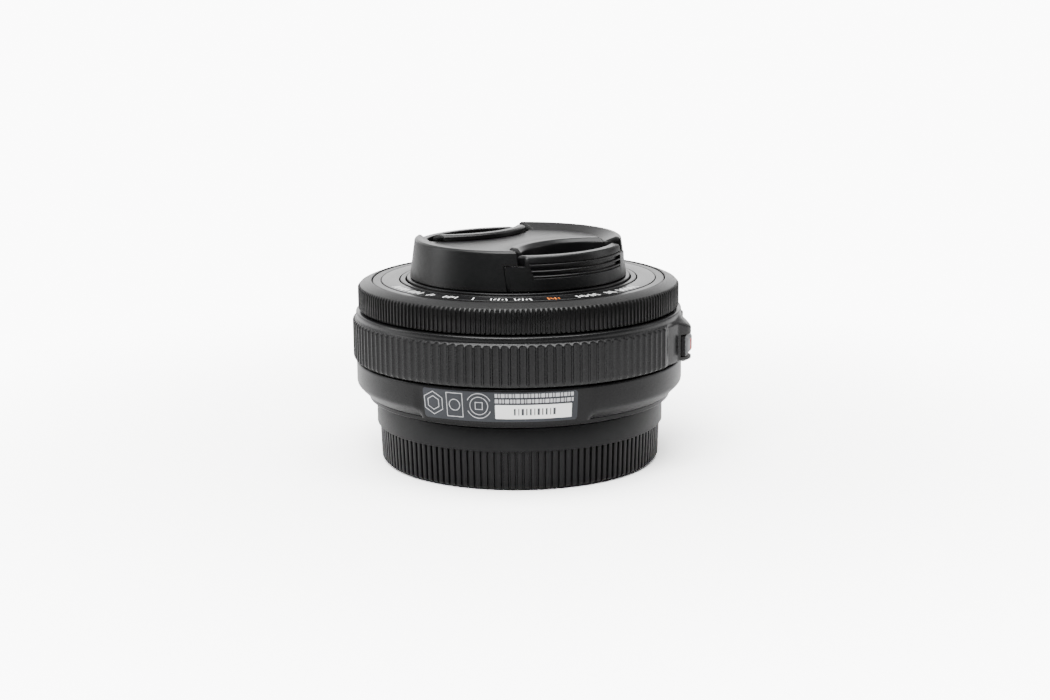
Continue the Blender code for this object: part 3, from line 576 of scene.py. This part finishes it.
def info_label():
    """Film with rounded corners, generic outline symbols and rows of dashes in place of text."""
    low, high = LABEL_Z
    width = math.radians(LABEL[1] - LABEL[0]) * LABEL_R
    film = bar(0.0, (low + high) / 2, width, high - low, on_barrel(LABEL_R - 0.05, 0.1),
               round_by=0.6, steps=60)
    piece("info_label_film", *film, "label", "lens_body", "label", ["info_label"])
    at = on_barrel(LABEL_R + 0.05, 0.02)
    line = 0.13
    symbols = [
        polygon_hoop(-12.1, 16.4, 2.1, 6, line, at, 90.0),
        polygon_hoop(-12.1, 16.4, 1.25, 6, line, at, 90.0),
        bar(-7.9, 18.55, 3.0, line, at, steps=4), bar(-7.9, 14.25, 3.0, line, at, steps=4),
        bar(-9.4, 16.4, line, 4.4, at), bar(-6.4, 16.4, line, 4.4, at),
        hoop(-7.9, 16.4, 1.0, line, at),
        hoop(-3.4, 16.45, 2.25, line, at, start=25.0, turn=130.0),
        hoop(-3.4, 16.45, 2.25, line, at, start=205.0, turn=130.0),
        hoop(-3.4, 16.45, 1.6, line, at),
        polygon_hoop(-3.4, 16.45, 0.9, 4, line, at, 45.0),
    ]
    piece("info_label_symbols", *merged(*symbols), "print_grey", "lens_body", "label")
    rows = []
    for z, widths in ((18.4, (0.55, 0.3, 0.8, 0.42, 0.62, 0.35, 0.9, 0.5, 0.7, 0.38, 0.6)),
                      (17.4, (0.7, 0.45, 0.35, 0.85, 0.5, 0.4, 0.75, 0.6, 0.3, 0.8, 0.42))):
        s = -0.5
        for i in range(22):
            dash = widths[i % len(widths)] * 0.84
            rows.append(bar(s + dash / 2, z, dash, 0.68, at, steps=2))
            s += dash + 0.17
    piece("info_label_dashes", *merged(*rows), "print_grey", "lens_body", "label")
    box = bar(6.3, 15.45, 13.6, 2.55, at, round_by=0.15, steps=24)
    piece("info_label_box", *box, "print_white", "lens_body", "label")
    over = on_barrel(LABEL_R + 0.07, 0.02)
    ticks = [bar(2.95 + 0.7 * i, 15.45, (0.3, 0.16, 0.42, 0.22)[i % 4], 1.2, over)
             for i in range(11)]
    piece("info_label_ticks", *merged(*ticks), "print_ink", "lens_body", "label")


# ---------------------------------------------------------------- aperture ring and lock button
FLUTE = [(-0.07, 0.0), (0.07, 0.0), (0.15, 0.62), (0.3, 0.92), (0.5, 1.0), (0.7, 0.92), (0.85, 0.62)]


def housing_share(angle):
    """0 at the housing's ends, 1 over its middle: a low swelling of the ring."""
    away = abs(offset(angle, BUTTON_ANGLE)) / HOUSING_HALF
    if away > 1.0:
        return 0.0
    return (1.0 - away * away) ** 2


def lean(angle, share):
    """How far the smooth stretch beside the housing leans in towards the ribs."""
    away = abs(offset(angle, BUTTON_ANGLE))
    if away >= SMOOTH_HALF or away <= LEAN_START:
        return 0.0
    return LEAN_DEPTH * (away - LEAN_START) / (SMOOTH_HALF - LEAN_START) * (1.0 - share)


def aperture_columns():
    """Flutes all round, and close plain columns through the smooth stretch."""
    near = [BUTTON_ANGLE + SMOOTH_HALF * (2 * i / 130 - 1) for i in range(131)]
    columns = ribs(APERTURE_RIBS, FLUTE, lambda a: abs(offset(a, BUTTON_ANGLE)) < SMOOTH_HALF + 0.4)
    columns += [(a, step(abs(offset(a, BUTTON_ANGLE)), SMOOTH_HALF - 2.5, SMOOTH_HALF))
                for a in near]
    return sorted((a % 360.0, share) for a, share in columns)


def aperture_line(angle, share):
    """Outline of the ring at one angle: flutes, top chamfer, band, and the lock housing."""
    low, high = APERTURE_Z
    lift = housing_share(angle)
    depth = APERTURE_FLUTE_DEPTH * share
    wall = APERTURE_R - depth + HOUSING_RISE * lift - lean(angle, share)
    foot = min(30.65, wall) if not lift else 30.65 + 0.95 * lift
    start = low + max(0.0, wall - foot) * (1.0 if not lift else 0.6) - 0.5 * lift
    chamfer = 26.9 + depth * 0.92 - 1.1 * lift
    shoulder = APERTURE_BAND_R + 0.25 * lift
    return [(28.75, low), (29.0, low), (29.0, low + 0.3), (30.0, low + 0.3), (30.0, low),
            (foot, low - 0.45 * lift), (wall - 0.05, start - 0.05), (wall, start + 0.1),
            (wall, low + 0.85), (wall, low + 2.0), (wall, low + 3.2), (wall, low + 4.7),
            (wall, chamfer - 0.25), (wall, chamfer - 0.06), (wall - 0.06, chamfer + 0.06),
            (wall + (shoulder - wall) * 0.5, chamfer + (27.45 - chamfer) * 0.5),
            (shoulder + 0.04, 27.45), (shoulder, 27.55), (APERTURE_BAND_R, 27.9),
            (APERTURE_BAND_R, high - 0.26), (APERTURE_BAND_R - 0.07, high - 0.12),
            (APERTURE_BAND_R - 0.28, high), (28.75, high)]


def frame_pocket(columns, stations):
    """Moves four rows of the housing's wall to the pocket's edges and between them."""
    low, high = BUTTON_LOW.z - POCKET_GAP, BUTTON_HIGH.z + POCKET_GAP
    heights = (low, low + POCKET_STEP, high - POCKET_STEP, high)
    for station, (angle, _) in zip(stations, columns):
        if abs(offset(angle, BUTTON_ANGLE)) < HOUSING_HALF:
            for row, z in zip(POCKET_ROWS, heights):
                x, y, _ = station[row]
                station[row] = (x, y, z)


def aperture_ring():
    """Fluted ring; the lock button's pocket replaces a patch of its skin with a recess."""
    columns = aperture_columns()
    stations = [[(*polar(r, angle), z) for r, z in aperture_line(angle, share)]
                for angle, share in columns]
    frame_pocket(columns, stations)
    verts, faces = skin(stations, True)
    count = len(stations[0])

    def top(i, row):
        return i * count + row
    edge = math.degrees(POCKET_HALF / (APERTURE_R + HOUSING_RISE))
    inside = [i for i, (a, _) in enumerate(columns) if abs(offset(a, BUTTON_ANGLE)) < edge]
    order = sorted(inside, key=lambda i: offset(columns[i][0], BUTTON_ANGLE))
    neighbours = list(zip(order, order[1:]))
    between = POCKET_ROWS[:-1]
    patch = {(top(a, row), top(b, row)) for a, b in neighbours for row in between}
    kept = [face for face in faces if face[:2] not in patch]
    deep = {}
    for i in order:
        for row in POCKET_ROWS:
            x, y, z = verts[top(i, row)]
            pull = POCKET_DEPTH_R / math.hypot(x, y)
            deep[(i, row)] = len(verts)
            verts.append((x * pull, y * pull, z))
    for a, b in neighbours:
        for row in between:
            kept.append((deep[(a, row)], deep[(b, row)], deep[(b, row + 1)], deep[(a, row + 1)]))
        for row in (POCKET_ROWS[0], POCKET_ROWS[-1]):
            kept.append((top(a, row), top(b, row), deep[(b, row)], deep[(a, row)]))
    for i in (order[0], order[-1]):
        for row in between:
            kept.append((top(i, row), top(i, row + 1), deep[(i, row + 1)], deep[(i, row)]))
    piece("aperture_ring_body", verts, kept, "ring_black", "aperture_ring", "ring_black",
          ["aperture_ring"], sharp=38.0)


def button_face(across):
    """How far out the button's face stands at a distance from its middle."""
    return BUTTON_FACE_R - BUTTON_CROWN * (across / BUTTON_HALF) ** 2


def lock_button():
    """Dark button with a light, slightly domed face and a printed line."""
    low, high = BUTTON_LOW.z, BUTTON_HIGH.z
    body, face = [], []
    for i in range(17):
        y = BUTTON_HALF * (i / 8 - 1)
        shrink = 0.12 if i in (0, 16) else 0.0
        out = button_face(y) - shrink
        body.append([(BUTTON_BACK_R, y, low), (BUTTON_BODY_R, y, low), (BUTTON_BODY_R, y, high),
                     (BUTTON_BACK_R, y, high)])
        face.append([(BUTTON_BODY_R - 0.1, y, low + shrink), (BUTTON_BODY_R + 0.05, y, low),
                     (out, y, low + 0.7), (out, y, high - 0.7),
                     (BUTTON_BODY_R + 0.05, y, high), (BUTTON_BODY_R - 0.1, y, high - shrink)])
    piece("lock_button_body", *skin(body, False), "barrel_black", "lock_button", "button_grey",
          ["lock_button"], turn=BUTTON_ANGLE)
    piece("lock_button_face", *skin(face, False), "button_grey", "lock_button", "button_grey",
          turn=BUTTON_ANGLE)

    def at(s, t, up):
        return button_face(s) - 0.01 + 0.04 * up, s, t
    stripe = bar(0.0, (low + high) / 2, 0.8, 2.1, at, round_by=0.15, steps=4)
    piece("lock_button_line", *stripe, "red_paint", "lock_button", "button_grey",
          turn=BUTTON_ANGLE)


# ---------------------------------------------------------------- focus ring and front
GROOVE = [(-0.1, 0.0), (0.1, 0.0), (0.22, 0.85), (0.36, 1.0), (0.5, 0.95), (0.64, 1.0), (0.78, 0.85)]


def focus_ring():
    """Finely grooved ring with a rounded shoulder that runs in to the name ring."""
    low, top = FOCUS_Z

    def outline(_, share):
        depth = FOCUS_GROOVE_DEPTH * share
        wall = FOCUS_R - depth
        foot = min(wall, FOCUS_R - 0.3)
        return [(29.05, low), (foot - 0.1, low), (foot, low + 0.04),
                (wall, low + 0.04 + max(0.0, wall - foot)), (wall, low + 1.6),
                (wall, 32.95 + depth - 0.06), (wall - 0.05, 32.95 + depth + 0.04),
                (29.46, 33.42), (29.3, 33.5), (28.7, 33.76), (28.1, 33.98), (27.72, 34.12),
                (27.5, top - 0.02), (27.36, top - 0.08), (27.3, top - 0.22), (27.3, 33.2),
                (27.9, 33.15), (27.9, 31.1), (29.05, 31.1)]
    piece("focus_ring_body", *lathe(outline, ribs(FOCUS_RIBS, GROOVE)), "focus_black",
          "focus_ring", "ring_black", ["focus_ring"], sharp=36.0)


def front_barrel():
    """Fixed band between the focus ring and the name ring."""
    top = BAND_TOP
    line = eased([(23.9, 25.5), (27.7, 25.5), (27.7, 32.95), (27.15, 33.05),
                  (27.15, top, 0.3), (25.6, top, 0.22), (25.6, 33.4), (22.1, 33.4),
                  (22.1, 32.4), (26.9, 32.4), (26.9, 26.3), (23.9, 26.3)], 5)
    piece("front_barrel_shell", *lathe(line), "barrel_black", "lens_body", "barrel_black",
          ["front_barrel"])


NAME_MARKS = ((-157.0, -145.0), (-143.0, -135.0), (-131.0, -128.0), (-123.0, -116.0),
              (-110.0, -108.0), (-102.0, -94.0), (-92.0, -84.0), (-65.0, -54.0),
              (-50.0, -45.0), (-42.0, -29.0))
ACCENT_MARK = (-78.0, -72.0)
MARK_R = 24.1


def scale_marks(start, end):
    """Strokes of a plain scale: bars across the ring, some short, some slanting."""
    at = on_name_ring(0.02)
    pitch = 1.5
    count = max(1, round((end - start) / pitch))
    parts = []
    for i in range(count):
        middle = start + (end - start) * (i + 0.5) / count
        tall = (1.8, 1.2, 1.8, 0.9)[i % 4]
        lean = (0.0, 0.35, -0.3, 0.0)[(i + count) % 4]
        wide = math.degrees(0.12 / MARK_R)
        inner, outer = MARK_R - tall / 2, MARK_R + tall / 2
        pairs = [((middle - wide - lean, inner), (middle - wide + lean, outer)),
                 ((middle + wide - lean, inner), (middle + wide + lean, outer))]
        parts.append(mark(pairs, at))
    return merged(*parts)


def name_ring():
    """Flat ring with generic marks, and the thin seal inside it."""
    low, top = NAME_Z
    line = eased([(22.2, low), (25.45, low), (25.45, top, 0.12), (22.2, top, 0.12)], 3)
    piece("name_ring_plate", *lathe(line), "ring_black", "lens_body", "ring_black", ["name_ring"])
    piece("name_ring_marks", *merged(*[scale_marks(*span) for span in NAME_MARKS]),
          "print_white", "lens_body", "ring_black")
    piece("name_ring_accent", *scale_marks(*ACCENT_MARK), "print_orange", "lens_body",
          "ring_black")
    low, high = low_high("seal_ring")
    line = eased([(20.98, low.z), (21.95, low.z), (21.95, high.z, 0.2), (20.98, high.z, 0.3)], 4)
    piece("seal_ring_lip", *lathe(line), "barrel_black", "lens_body", "barrel_black",
          ["seal_ring"])


def inner_barrel():
    """Moving barrel with the filter thread's grooves inside its rim."""
    low, top = bottom_of("inner_barrel"), FRONT_Z
    line = eased([(19.7, low), (20.72, low), (20.72, top, 0.25), (19.45, top, 0.15)], 4)
    z = top - 0.25
    while z > top - 2.3:
        line += [(19.3, z), (19.3, z - 0.1), (19.05, z - 0.25), (19.3, z - 0.4)]
        z -= 0.5
    line += [(19.3, 31.9), (19.7, 31.9)]
    piece("inner_barrel_tube", *lathe(line), "barrel_black", "lens_unit", "barrel_black",
          ["inner_barrel"])


def front_bezel():
    """Dish round the front element, with anti-glare steps."""
    line = [(9.7, 30.5), (9.7, 30.0), (18.7, 30.6), (18.7, 25.2), (19.45, 25.2), (19.45, 31.6),
            (18.2, 31.6), (17.6, 31.1)]
    r = 17.2
    while r > 10.4:
        z = 30.5 + (r - 9.7) * 0.6 / 7.9
        line += [(r, z + 0.05), (r, z - 0.1), (r - 0.35, z - 0.1), (r - 0.35, z + 0.02)]
        r -= 0.7
    piece("front_bezel_dish", *lathe(line, 160), "inner_black", "lens_unit", "inner_black",
          ["front_bezel"])


def front_element():
    """Front glass with a smooth dome."""
    low, high = low_high("element_1")
    radius = high.x
    rim = high.z - 0.75
    dome = [(radius * math.sin(a), rim + (high.z - rim) * math.cos(a))
            for a in (math.pi / 2 * i / 14 for i in range(14, -1, -1))]
    back = [(radius * i / 8, low.z + 0.35 * (1 - (i / 8) ** 2)) for i in range(9)]
    piece("front_element_glass", *lathe(back + dome, 128), "glass", "lens_unit", "glass",
          ["element_1"])


# ---------------------------------------------------------------- front cap
def from_side(half):
    """End functions for a wall on the +Y side that is cut square at x = +half and x = -half."""
    def start(r, z):
        return math.degrees(math.asin(half / r))

    def end(r, z):
        return 180.0 - math.degrees(math.asin(half / r))
    return start, end


def cap_wall_r(z):
    """The cap's wall leans in as it rises."""
    return 20.15 - 0.1397 * (z - CAP_Z)


def cap_walls():
    """Two rim walls, each wider below the notch than above it."""
    upper = eased([(15.4, 39.6), (17.6, NOTCH_Z), (cap_wall_r(NOTCH_Z), NOTCH_Z),
                   (cap_wall_r(41.5), 41.5, 0.35), (18.75, CAP_TOP, 0.3), (18.2, CAP_TOP, 0.3),
                   (16.2, PLATE_Z[1], 0.5), (15.4, PLATE_Z[1] - 0.3)], 5)
    lower = eased([(17.9, 33.3), (19.05, 33.3), (19.05, CAP_Z), (20.0, CAP_Z),
                   (cap_wall_r(CAP_Z) - 0.02, CAP_Z + 0.1), (cap_wall_r(NOTCH_Z), NOTCH_Z),
                   (17.9, NOTCH_Z)])
    parts = []
    for turn in (0.0, 180.0):
        parts.append(spun(swept(upper, *from_side(RECESS_HALF), 72, rim=0.2), turn))
        parts.append(spun(swept(lower, *from_side(SKIRT_HALF), 60, rim=0.05), turn))
    return parts


def cap_plate():
    """The plate between the two finger recesses, with an eased upper edge."""
    edge_r = SCOOP_R + 2.9
    end = math.degrees(math.asin(RECESS_HALF / edge_r))
    outline = [polar(edge_r, 180 + end - 2 * end * i / 40, SCOOP_CENTRE) for i in range(41)]
    side = math.degrees(math.asin(RECESS_HALF / PLATE_R))
    outline += [polar(PLATE_R, side + (180 - 2 * side) * i / 40) for i in range(41)]
    outline += [(-x, -y) for x, y in outline]
    low, top = PLATE_Z
    rows = [(outline, low), (outline, top - 0.12), (inset(outline, 0.04), top - 0.035),
            (inset(outline, 0.12), top)]
    verts = [(x, y, z) for line, z in rows for x, y in line]
    count = len(outline)
    faces = [(r * count + i, r * count + (i + 1) % count, (r + 1) * count + (i + 1) % count,
              (r + 1) * count + i) for r in range(len(rows) - 1) for i in range(count)]
    faces += [tuple(range(count)), tuple(range((len(rows) - 1) * count, len(rows) * count))]
    return verts, faces


def front_cap_body():
    piece("front_cap_shell", *merged(*cap_walls(), cap_plate()), "cap_plastic", "front_cap",
          "cap_plastic", ["front_cap_body"], turn=LATCH_ANGLE)


def retainer():
    """Disc with two flat sides that holds the latches in the cap."""
    low, high = RETAINER_Z
    stations = []
    for x in [RETAINER_HALF * (i / 12 - 1) for i in range(25)]:
        y = math.sqrt(RETAINER_R ** 2 - x * x)
        stations.append([(x, -y, low), (x, y, low), (x, y, high), (x, -y, high)])
    piece("front_cap_retainer_plate", *skin(stations, False), "cap_plastic", "front_cap",
          "cap_plastic", ["front_cap_retainer"], turn=LATCH_ANGLE)


# (height, how far the wall stands back) up the pinch grip: three grooves between four ridges
GRIP_WALL = ((36.86, 0.0), (36.96, 0.12), (36.98, 0.35), (37.14, 0.35), (37.16, 0.03),
             (37.2, 0.0), (37.28, 0.0), (37.4, 0.13), (37.42, 0.65), (38.06, 0.65), (38.08, 0.03),
             (38.12, 0.0), (38.2, 0.0), (38.32, 0.13), (38.34, 0.65), (38.96, 0.65), (38.98, 0.03),
             (39.02, 0.0), (39.32, 0.0), (39.42, 0.12), (39.44, 0.35), (39.62, 0.35), (39.64, 0.03))


def grip_r(z):
    """The grip leans in a little less than the wall."""
    return 20.12 - 0.128 * (z - CAP_Z)


def grip_station(v):
    """Outline of the latch's outer wall in the plane y = v, as (radius, height)."""
    away = abs(v)
    crown = GRIP_TOP
    if away > GRIP_HALF:
        crown = SHELF_Z
    elif away > GRIP_HALF - GRIP_ROUND:
        fall = max(0.0, GRIP_ROUND ** 2 - (away - GRIP_HALF + GRIP_ROUND) ** 2)
        crown = GRIP_TOP - GRIP_ROUND + math.sqrt(fall)
    line = [(18.4, CAP_Z + 0.05), (grip_r(CAP_Z) - 0.1, CAP_Z + 0.05), (grip_r(CAP_Z), CAP_Z + 0.15)]
    for z, back in GRIP_WALL:
        reach = 10.3 + 0.22 * (z - 37.0)
        cut = back * (1.0 - step(away, reach - 0.25, reach))
        line.append((grip_r(min(z, crown)) - cut, min(z, crown)))
    line += [(grip_r(crown), max(crown - 0.3, min(39.8, crown))), (grip_r(crown) - 0.1, crown - 0.13),
             (grip_r(crown) - 0.3, crown), (17.75, crown), (17.6, crown - 0.1), (17.6, 38.6),
             (18.35, 38.4)]
    return line


def grip_path():
    """Places across the latch, closer together at its ends, its corners and the grooves' ends."""
    count = 96
    places = [GRIP_HALF * (2 * i / count - 1) for i in range(count + 1)]
    marks = [LATCH_HALF, LATCH_HALF - 0.1, 13.6] + [9.9 + 0.1 * i for i in range(13)]
    marks += [GRIP_HALF + d for d in (-0.5, -0.3, -0.1, 0.001)]
    places += marks + [-v for v in marks]
    return sorted({round(v, 4) for v in places})


def grip_wall():
    stations = []
    for v in grip_path():
        line = grip_station(v)
        if abs(v) == LATCH_HALF:
            line = inset(line, 0.08)
        stations.append([(math.sqrt(r * r - v * v), v, z) for r, z in line])
    return skin(stations, False)


def tray():
    """Floor of the finger recess."""
    outline = [polar(SCOOP_R + 0.7, 139 + 82 * i / 20, SCOOP_CENTRE) for i in range(21)]
    outline += [polar(18.9, -31 + 62 * i / 20) for i in range(21)]
    verts = [(x, y, z) for z in TRAY_Z for x, y in outline]
    n = len(outline)
    return (verts, [(i, (i + 1) % n, n + (i + 1) % n, n + i) for i in range(n)]
            + [tuple(range(n)), tuple(range(n, 2 * n))])


def lip():
    """Raised wall with a rounded, overhanging top, on the inner side of the finger recess."""
    outline = eased([(SCOOP_R, 36.2), (SCOOP_R + 1.3, 36.2), (SCOOP_R + 1.3, 40.75),
                     (SCOOP_R + 2.55, 40.75), (SCOOP_R + 2.55, CAP_TOP - 0.35, 0.3),
                     (SCOOP_R + 2.1, CAP_TOP - 0.05, 0.5), (SCOOP_R + 0.75, CAP_TOP - 0.05, 0.6),
                     (SCOOP_R, CAP_TOP - 0.75, 0.5)], 5)
    return swept(outline, lambda r, z: 180.0 - math.degrees(math.asin(LIP_HALF / r)),
                 lambda r, z: 180.0 + math.degrees(math.asin(LIP_HALF / r)), 48, rim=0.3,
                 centre=SCOOP_CENTRE)


def claw():
    """Hook that snaps into the filter thread."""
    outline = eased([(17.95, 33.45, 0.1), (19.1, 33.45, 0.3), (19.1, 35.2), (17.95, 35.2)], 3)
    return swept(outline, lambda r, z: -math.degrees(math.asin(CLAW_HALF / r)),
                 lambda r, z: math.degrees(math.asin(CLAW_HALF / r)), 20)


def latch(side, turn):
    """Pinch latch: grooved grip, tray, raised lip behind the finger recess, and claw."""
    piece(f"front_cap_grip_{side}", *merged(grip_wall(), tray(), lip(), claw()), "cap_plastic",
          f"cap_latch_{side}", "cap_plastic", [f"front_cap_latch_{side}"], turn=turn)


# ---------------------------------------------------------------- CAD nodes that stay
def dress_frame():
    """Give every CAD node the procedural finish of its material slot."""
    for part in frame["record"]["subparts"]:
        node = frame["nodes"][part["node"]]
        node.data.materials.clear()
        node.data.materials.append(MATERIALS[part["material_slot"]])


# ---------------------------------------------------------------- stage, light and camera
FLOOR_RADIUS = 9.0               # this and the other stage sizes are metres
FLOOR_PAINTED_SHADE_FADE = (-0.21, -0.12)      # along Y, where the floor's lit colour goes from dark to pale: painted shade, dark on the camera's side, for the dim room in front
FLOOR_LIT = (0.05, 0.72)
FLOOR_SEEN = 2.2
FLOOR_GLOW = 10.5
FLOOR_BLEND = (0.035, 0.17)      # distances over which shaded floor turns into plain white
SKY_SEEN = 10.0

AIM = (0.0, 0.0, 0.02)
# name, place, width, height, watts
SOFTBOXES = (("top_light", (0.0, -0.06, 0.75), 0.8, 0.45, 11.0),
             ("front_light", (-0.15, -0.5, 0.55), 0.5, 0.3, 9.0),
             ("left_light", (-0.7, 0.05, 0.3), 0.25, 0.5, 1.6),
             ("right_light", (0.7, 0.15, 0.3), 0.25, 0.5, 0.8))

CAMERA_ELEVATION = 11.94
CAMERA_ROLL = -0.575
CAMERA_TARGET = (1.128, 0.0, 20.05)
CAMERA_DISTANCE = 0.3428
FOCAL_LENGTH = 62.43
SENSOR_WIDTH = 36.0


def ramp(tree, value, start, end, low, high):
    """A soft step of a value from low at start to high at end."""
    node = tree.nodes.new("ShaderNodeMapRange")
    node.interpolation_type = "SMOOTHSTEP"
    node.inputs["From Min"].default_value = start
    node.inputs["From Max"].default_value = end
    node.inputs["To Min"].default_value = low
    node.inputs["To Max"].default_value = high
    tree.links.new(value, node.inputs["Value"])
    return node.outputs["Result"]


def seen_apart(tree, lit, seen, target):
    """One shader for the camera's own rays, and another for all the light they gather."""
    path = tree.nodes.new("ShaderNodeLightPath")
    mix = tree.nodes.new("ShaderNodeMixShader")
    tree.links.new(path.outputs["Is Camera Ray"], mix.inputs["Fac"])
    tree.links.new(lit, mix.inputs[1])
    tree.links.new(seen, mix.inputs[2])
    tree.links.new(mix.outputs["Shader"], target)


def floor_material():
    """White paper: the camera sees it brighter than it lights the lens."""
    made, tree, shader = new_material("floor_paper")
    nodes, links = tree.nodes, tree.links
    nodes.remove(shader)
    where = nodes.new("ShaderNodeTexCoord")
    split = nodes.new("ShaderNodeSeparateXYZ")
    links.new(where.outputs["Object"], split.inputs["Vector"])
    lit = nodes.new("ShaderNodeBsdfDiffuse")
    # painted shade: the colour that lights the lens is dark on the camera's side and pale behind, in
    # place of a dim room in front
    links.new(ramp(tree, split.outputs["Y"], *FLOOR_PAINTED_SHADE_FADE, *FLOOR_LIT), lit.inputs["Color"])
    near = nodes.new("ShaderNodeBsdfDiffuse")
    near.inputs["Color"].default_value = (FLOOR_SEEN, FLOOR_SEEN, FLOOR_SEEN * 0.99, 1.0)
    glow = nodes.new("ShaderNodeEmission")
    glow.inputs["Strength"].default_value = FLOOR_GLOW
    length = nodes.new("ShaderNodeVectorMath")
    length.operation = "LENGTH"
    links.new(where.outputs["Object"], length.inputs[0])
    shown = nodes.new("ShaderNodeMixShader")
    links.new(ramp(tree, length.outputs["Value"], *FLOOR_BLEND, 0.0, 1.0), shown.inputs["Fac"])
    links.new(near.outputs["BSDF"], shown.inputs[1])
    links.new(glow.outputs["Emission"], shown.inputs[2])
    seen_apart(tree, lit.outputs["BSDF"], shown.outputs["Shader"],
               nodes["Material Output"].inputs["Surface"])
    return made


def floor():
    """Wide pale disc under the lens."""
    mesh = bpy.data.meshes.new("floor")
    count = 64
    ring = [(*polar(FLOOR_RADIUS, 360.0 * i / count), 0.0) for i in range(count)]
    mesh.from_pydata(ring, [], [tuple(range(count))])
    mesh.materials.append(floor_material())
    plane = bpy.data.objects.new("floor", mesh)
    bpy.context.scene.collection.objects.link(plane)


def sky():
    """Studio surroundings: dim on the camera's side and on the right, bright behind, and
    brightest low down at the back."""
    world = bpy.data.worlds.new("studio")
    bpy.context.scene.world = world
    world.use_nodes = True
    tree = world.node_tree
    nodes, links = tree.nodes, tree.links
    nodes.clear()
    where = nodes.new("ShaderNodeTexCoord")
    split = nodes.new("ShaderNodeSeparateXYZ")
    links.new(where.outputs["Generated"], split.inputs["Vector"])
    back = ramp(tree, split.outputs["Y"], -0.75, 0.55, 0.02, 1.3)
    horizon = ramp(tree, split.outputs["Y"], 0.8, 0.99, 0.0, 2.6)
    right = ramp(tree, split.outputs["X"], 0.3, 0.75, 1.0, 0.35)
    total = nodes.new("ShaderNodeMath")
    links.new(back, total.inputs[0])
    links.new(horizon, total.inputs[1])
    dimmed = nodes.new("ShaderNodeMath")
    dimmed.operation = "MULTIPLY"
    links.new(total.outputs["Value"], dimmed.inputs[0])
    links.new(right, dimmed.inputs[1])
    lit = nodes.new("ShaderNodeBackground")
    links.new(dimmed.outputs["Value"], lit.inputs["Strength"])
    seen = nodes.new("ShaderNodeBackground")
    seen.inputs["Strength"].default_value = SKY_SEEN
    out = nodes.new("ShaderNodeOutputWorld")
    seen_apart(tree, lit.outputs["Background"], seen.outputs["Background"], out.inputs["Surface"])


def softbox(name, at, width, height, power):
    """Rectangular light that faces the lens."""
    light = bpy.data.lights.new(name, "AREA")
    light.shape = "RECTANGLE"
    light.size, light.size_y = width, height
    light.energy = power
    made = bpy.data.objects.new(name, light)
    made.location = at
    made.rotation_euler = (Vector(AIM) - Vector(at)).to_track_quat("-Z", "Y").to_euler()
    bpy.context.scene.collection.objects.link(made)


def camera():
    """Long lens on the label's side, a little above the front rim."""
    elevation, roll = math.radians(CAMERA_ELEVATION), math.radians(CAMERA_ROLL)
    right = Vector((1.0, 0.0, 0.0))
    up = Vector((0.0, math.sin(elevation), math.cos(elevation)))
    ahead = Vector((0.0, math.cos(elevation), -math.sin(elevation)))
    x = right * math.cos(roll) + up * math.sin(roll)
    y = up * math.cos(roll) - right * math.sin(roll)
    data = bpy.data.cameras.new("camera")
    data.lens = FOCAL_LENGTH
    data.sensor_width = SENSOR_WIDTH
    data.clip_start = 0.01
    made = bpy.data.objects.new("camera", data)
    bpy.context.scene.collection.objects.link(made)
    place = Vector(CAMERA_TARGET) * MM - ahead * CAMERA_DISTANCE
    made.matrix_world = Matrix([[x[i], y[i], -ahead[i], place[i]] for i in range(3)] + [[0, 0, 0, 1]])
    bpy.context.scene.camera = made


def stage():
    floor()
    sky()
    for box in SOFTBOXES:
        softbox(*box)
    camera()


def build():
    dress_frame()
    rear_cap()
    mount()
    rear_barrel()
    info_label()
    aperture_ring()
    lock_button()
    focus_ring()
    front_barrel()
    name_ring()
    inner_barrel()
    front_bezel()
    front_element()
    front_cap_body()
    retainer()
    latch("right", LATCH_ANGLE)
    latch("left", LATCH_ANGLE + 180.0)


build()
stage()
